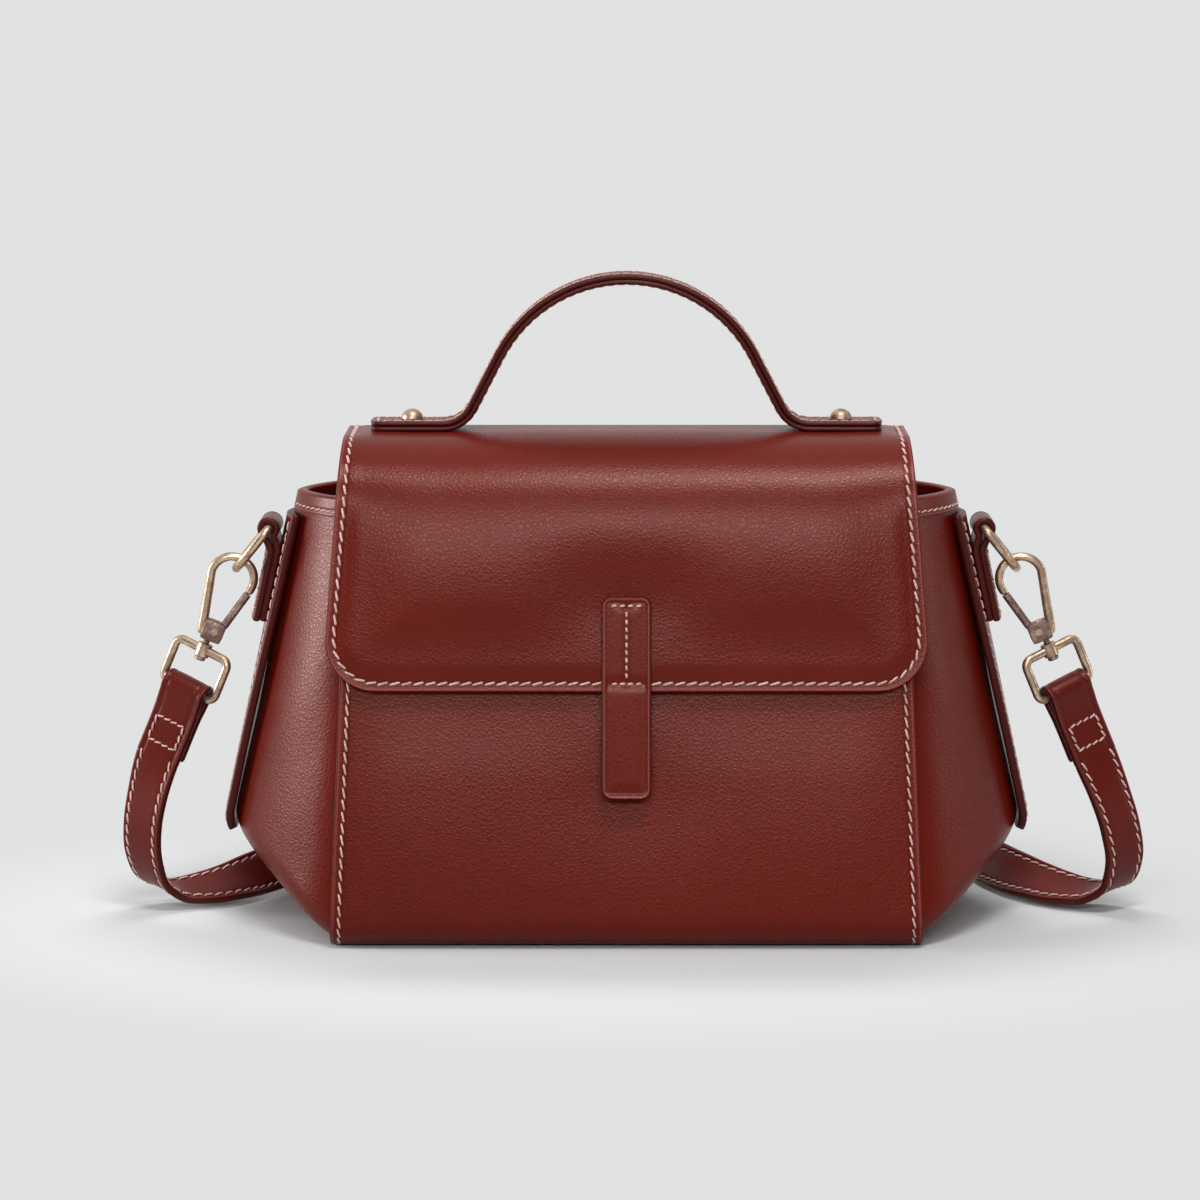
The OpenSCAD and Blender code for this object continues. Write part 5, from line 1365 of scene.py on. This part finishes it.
def foot_row(k):
    """The thread across a foot's end."""
    y = np.linspace(-HANDLE_W / 2 + END_SEAM, HANDLE_W / 2 - END_SEAM, 8)
    place = [np.full(8, k * (FEET_SPAN / 2 - END_SEAM)), handle_y + y, np.full(8, foot_top - 0.1)]
    return np.stack(place, 1), np.tile([0, 0, 1.0], (8, 1))


under_face = 2 * HANDLE_T + LAYER_GAP
handle_upper = handle_strap("handle_upper_leather", 0.0, HANDLE_T)
handle_lower = handle_strap("handle_lower_leather", HANDLE_T + LAYER_GAP, under_face)
handle_seams = [handle_row(k, *face) for k in (-1, 1) for face in ((0.1, 1.0), (under_face - 0.05, -1.0))]
handle_thread = stitches("handle_thread", handle_seams + [foot_row(-1), foot_row(1)], thread, 3.8, 0.27)
for made in (handle_upper, handle_lower, handle_thread):
    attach(made, "flap")
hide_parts("handle_top")
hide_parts("handle_under")

RIVET_D, RIVET_SHANK, DOME_H, WASHER_T, PEEN_D, PEEN_H = 8.1, 3.2, 3.6, 0.8, 4.8, 0.7
dome_z = foot_top + 0.3
peen_low = CROWN_Z - FLAP_T - 3 * LAYER_GAP - WASHER_T - PEEN_H
peen_high = peen_low + PEEN_H
rivet_profile = [
    (PEEN_D / 2 - 0.3, peen_low),
    (PEEN_D / 2, peen_low + 0.2),
    (PEEN_D / 2, peen_high - 0.15),
    (PEEN_D / 2 - 0.15, peen_high),
    (RIVET_SHANK / 2, peen_high + 0.05),
    (RIVET_SHANK / 2, foot_top - 0.1),
    (RIVET_D / 2 - 0.3, foot_top + 0.02),
    (RIVET_D / 2, dome_z),
]
for t in np.linspace(0, np.pi / 2, 12)[1:]:
    rivet_profile.append((RIVET_D / 2 * math.cos(t), dome_z + DOME_H * math.sin(t)))
points, walls, caps = turned(rivet_profile, 36)
rivets = [(points + [k * RIVET_SPAN / 2, handle_y, 0.0], walls, caps) for k in (-1, 1)]
rivet_piece = joined("handle_rivets_brass", rivets, brass, 50)
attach(rivet_piece, "flap")
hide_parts("handle_rivets")

# The closure tab: a tongue of leather with a rounded edge that carries a painted
# highlight, sewn on the flap with an I of thread and free below the flap's edge,
# where a magnetic snap holds it to the front panel.

CLOSURE_W, CLOSURE_T, CLOSURE_TOP, CLOSURE_LOW, CLOSURE_CORNER = 17.0, 2.6, 127.0, 56.0, 3.0
CLOSURE_GAP, CREASE_Z, BAR_HALF = 0.15, 96.4, 5.9
# TAB_EDGE_HIGHLIGHT is a painted highlight: a pale colour laid along the crest of the tab's rounded edge.
TAB_EDGE_HIGHLIGHT = (0.30, 0.085, 0.07, 1.0)
tab_leather = leather_finish("tab_leather", DEEP, BODY, TAB_EDGE_HIGHLIGHT, 0.9, 0.4, 0.38)
quarter = np.radians(np.linspace(0, 90, 12))
closure_z = np.concatenate(
    [
        CLOSURE_LOW + CLOSURE_CORNER * (1 - np.cos(quarter)),
        np.linspace(CLOSURE_LOW + CLOSURE_CORNER + 0.8, CLOSURE_TOP - CLOSURE_CORNER - 0.8, 60),
        CLOSURE_TOP - CLOSURE_CORNER * (1 - np.sin(quarter)),
    ]
)[:, None]
end_past = CLOSURE_CORNER - np.minimum(closure_z - CLOSURE_LOW, CLOSURE_TOP - closure_z)
closure_half = CLOSURE_W / 2 - round_in(CLOSURE_CORNER, end_past) - 0.35
cx = closure_half * across_shares(CLOSURE_W / 2, 0.9)[None, :]
cz = closure_z + 0 * cx
closure_edge = corner_edge(np.abs(cx) - CLOSURE_W / 2 + CLOSURE_CORNER, end_past, CLOSURE_CORNER)
closure_edge = np.maximum(closure_edge, 0)
seam_ridge = smooth(cz, 94, 99) * smooth(CLOSURE_TOP - cz, 1, 4) * np.exp(-np.abs(cx / 1.6) ** 1.5)
crease = np.exp(-(((cz - CREASE_Z) / 1.6) ** 2)) * smooth(closure_edge, 0.5, 2.5)
closure_rise = CLOSURE_T + 0.1 - 0.45 * seam_ridge - 0.5 * crease
closure_rise += 0.25 * smooth(closure_edge, 1.5, 6.0) - 0.4 * smooth(closure_edge, 0.7, 1.9)


def on_front(x, z, off):
    """A point over the flap's flat front, off above its face, as the front panel leans."""
    return np.stack([x, -wall_y(z, front_off - off), z + 0 * x], -1)


def closure_row(x0, z0, x1, z1, off):
    """A straight row of thread on the tab's face."""
    place = on_front(np.linspace(x0, x1, 12), np.linspace(z0, z1, 12), CLOSURE_GAP + off)
    return place, np.tile([0.0, -math.cos(LEAN), math.sin(LEAN)], (12, 1))


closure = leather_skin(
    "closure_tab_leather",
    on_front(cx, cz, CLOSURE_GAP + closure_rise),
    on_front(cx, cz, CLOSURE_GAP),
    closure_edge,
    tab_leather,
    0.6,
)
closure_rows = [
    closure_row(-BAR_HALF, CLOSURE_TOP - 2.9, BAR_HALF, CLOSURE_TOP - 2.9, CLOSURE_T - 0.15),
    closure_row(0, CLOSURE_TOP - 4.6, 0, CREASE_Z + 1.6, CLOSURE_T - 0.25),
    closure_row(-BAR_HALF, CREASE_Z, BAR_HALF, CREASE_Z, CLOSURE_T - 0.45),
]
closure_thread = stitches("closure_tab_thread", closure_rows, thread, 2.9, 0.42, 8.0, 0.66)
FLEX_Z = FLAP_LOW_Z + 1.0
flex_y = -wall_y(FLEX_Z, front_off - CLOSURE_T / 2)
flex_y * MM
flex_y * MM
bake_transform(closure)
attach(closure_thread, "flap")
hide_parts("closure_tab_sewn", "closure_tab_free")

# The inside: a suede lining over leather boards that keep the front, back and
# base flat, with an open pocket on the back.

BOARD_T, BASE_BOARD_T, BOARD_IN, LINING_T, LINING_DROP = 1.4, 1.9, GUSSET_IN + FLANGE + 0.5, 0.6, 1.5
BOARD_LOW, BOARD_DROP = BEND_R + WRAP_T + 4.0, 6.0
LINING_OFF = WRAP_T + GUSSET_T + 3 * FIT


def panel(name, line, side_in, thick, finish):
    """A panel that follows a line in the YZ plane, side_in narrower than the wrap at each side, and
    thick towards the middle of the bag."""
    places, _ = evenly(line, 3.0)
    inward = line_normals(places, 0, np.array([0.0, 90.0]) - places[0])
    half = panel_half(places[:, 1:]) - side_in
    x = half * across_shares(half.max(), 3.0)[None, :]
    outer, inner = lifted(x, places, inward, 0.0), lifted(x, places, inward, thick)
    return leather_skin(name, outer, inner, np.full(x.shape, INLAND), finish, 0.4, 3)


def wall_line(side, high):
    """Up the front or back wall on the wrap's inner face, from over the bend."""
    z = np.linspace(BOARD_LOW, high - BOARD_DROP, 20)
    return np.stack([side * wall_y(z, gusset_off), z], 1)


base_line = np.stack([np.linspace(-bend_y, bend_y, 20), np.full(20, gusset_off)], 1)
lining_line = u_shape(LINING_OFF, BODY_H - LINING_DROP, BACK_Z - LINING_DROP, 12)
front_board = panel("front_board_sheet", wall_line(-1, BODY_H), BOARD_IN, BOARD_T, board)
back_board = panel("back_board_sheet", wall_line(1, BACK_Z), BOARD_IN, BOARD_T, board)
base_board = panel("base_board_sheet", base_line, BOARD_IN, BASE_BOARD_T, board)
lining = panel("lining_suede_body", lining_line, GUSSET_IN + FLANGE + FIT, LINING_T, suede)
for made, node, slot in (
    (front_board, "front_board", "board"),
    (back_board, "back_board", "board"),
    (base_board, "base_board", "board"),
    (lining, "lining_body", "lining_fabric"),
):
    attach(made, "root")
    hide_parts(node)

POCKET_W, POCKET_LOW, POCKET_H, POCKET_T, POCKET_ROOM, POCKET_SEAM = 110.0, 62.0, 72.0, 0.7, 1.2, 2.0
on_lining = LINING_OFF + LINING_T + FIT
pocket_z = np.linspace(POCKET_LOW, POCKET_LOW + POCKET_H, 34)[:, None]
px = POCKET_W / 2 * across_shares(POCKET_W / 2, 2.4)[None, :] + 0 * pocket_z
pz = pocket_z + 0 * px
pocket_free = smooth(POCKET_W / 2 - np.abs(px), 2.0, 11.0) * smooth(pz - POCKET_LOW, 2.0, 11.0)
pocket_gape = POCKET_ROOM + 1.6 * smooth(pz, 100, 134) * (1 - (px / (POCKET_W / 2)) ** 2)
pocket_off = on_lining + 0.1 + pocket_free * pocket_gape
pocket_face, pocket_back = (
    np.stack([px, wall_y(pz, pocket_off + thick), pz], -1) for thick in (POCKET_T, 0.0)
)
pocket_edge = np.full(px.shape, INLAND)
pocket = leather_skin("inner_pocket_suede", pocket_face, pocket_back, pocket_edge, suede, 0.5, 3)


def pocket_row(x, z):
    """A row of thread through the pocket's edge."""
    inward = [0.0, -math.cos(LEAN), -math.sin(LEAN)]
    return np.stack([x, wall_y(z, on_lining + 0.05 + POCKET_T), z], 1), np.tile(inward, (len(z), 1))


seam_half, seam_low = POCKET_W / 2 - POCKET_SEAM, POCKET_LOW + POCKET_SEAM
down_z = np.linspace(POCKET_LOW + POCKET_H - 1.5, seam_low, 30)
pocket_rows = [pocket_row(np.full(30, k * seam_half), down_z) for k in (-1, 1)]
pocket_rows.append(pocket_row(np.linspace(seam_half, -seam_half, 40), np.full(40, seam_low)))
pocket_thread = stitches("inner_pocket_thread", pocket_rows, thread, 3.0, 0.25)
for made in (pocket, pocket_thread):
    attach(made, "root")
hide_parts("inner_pocket")
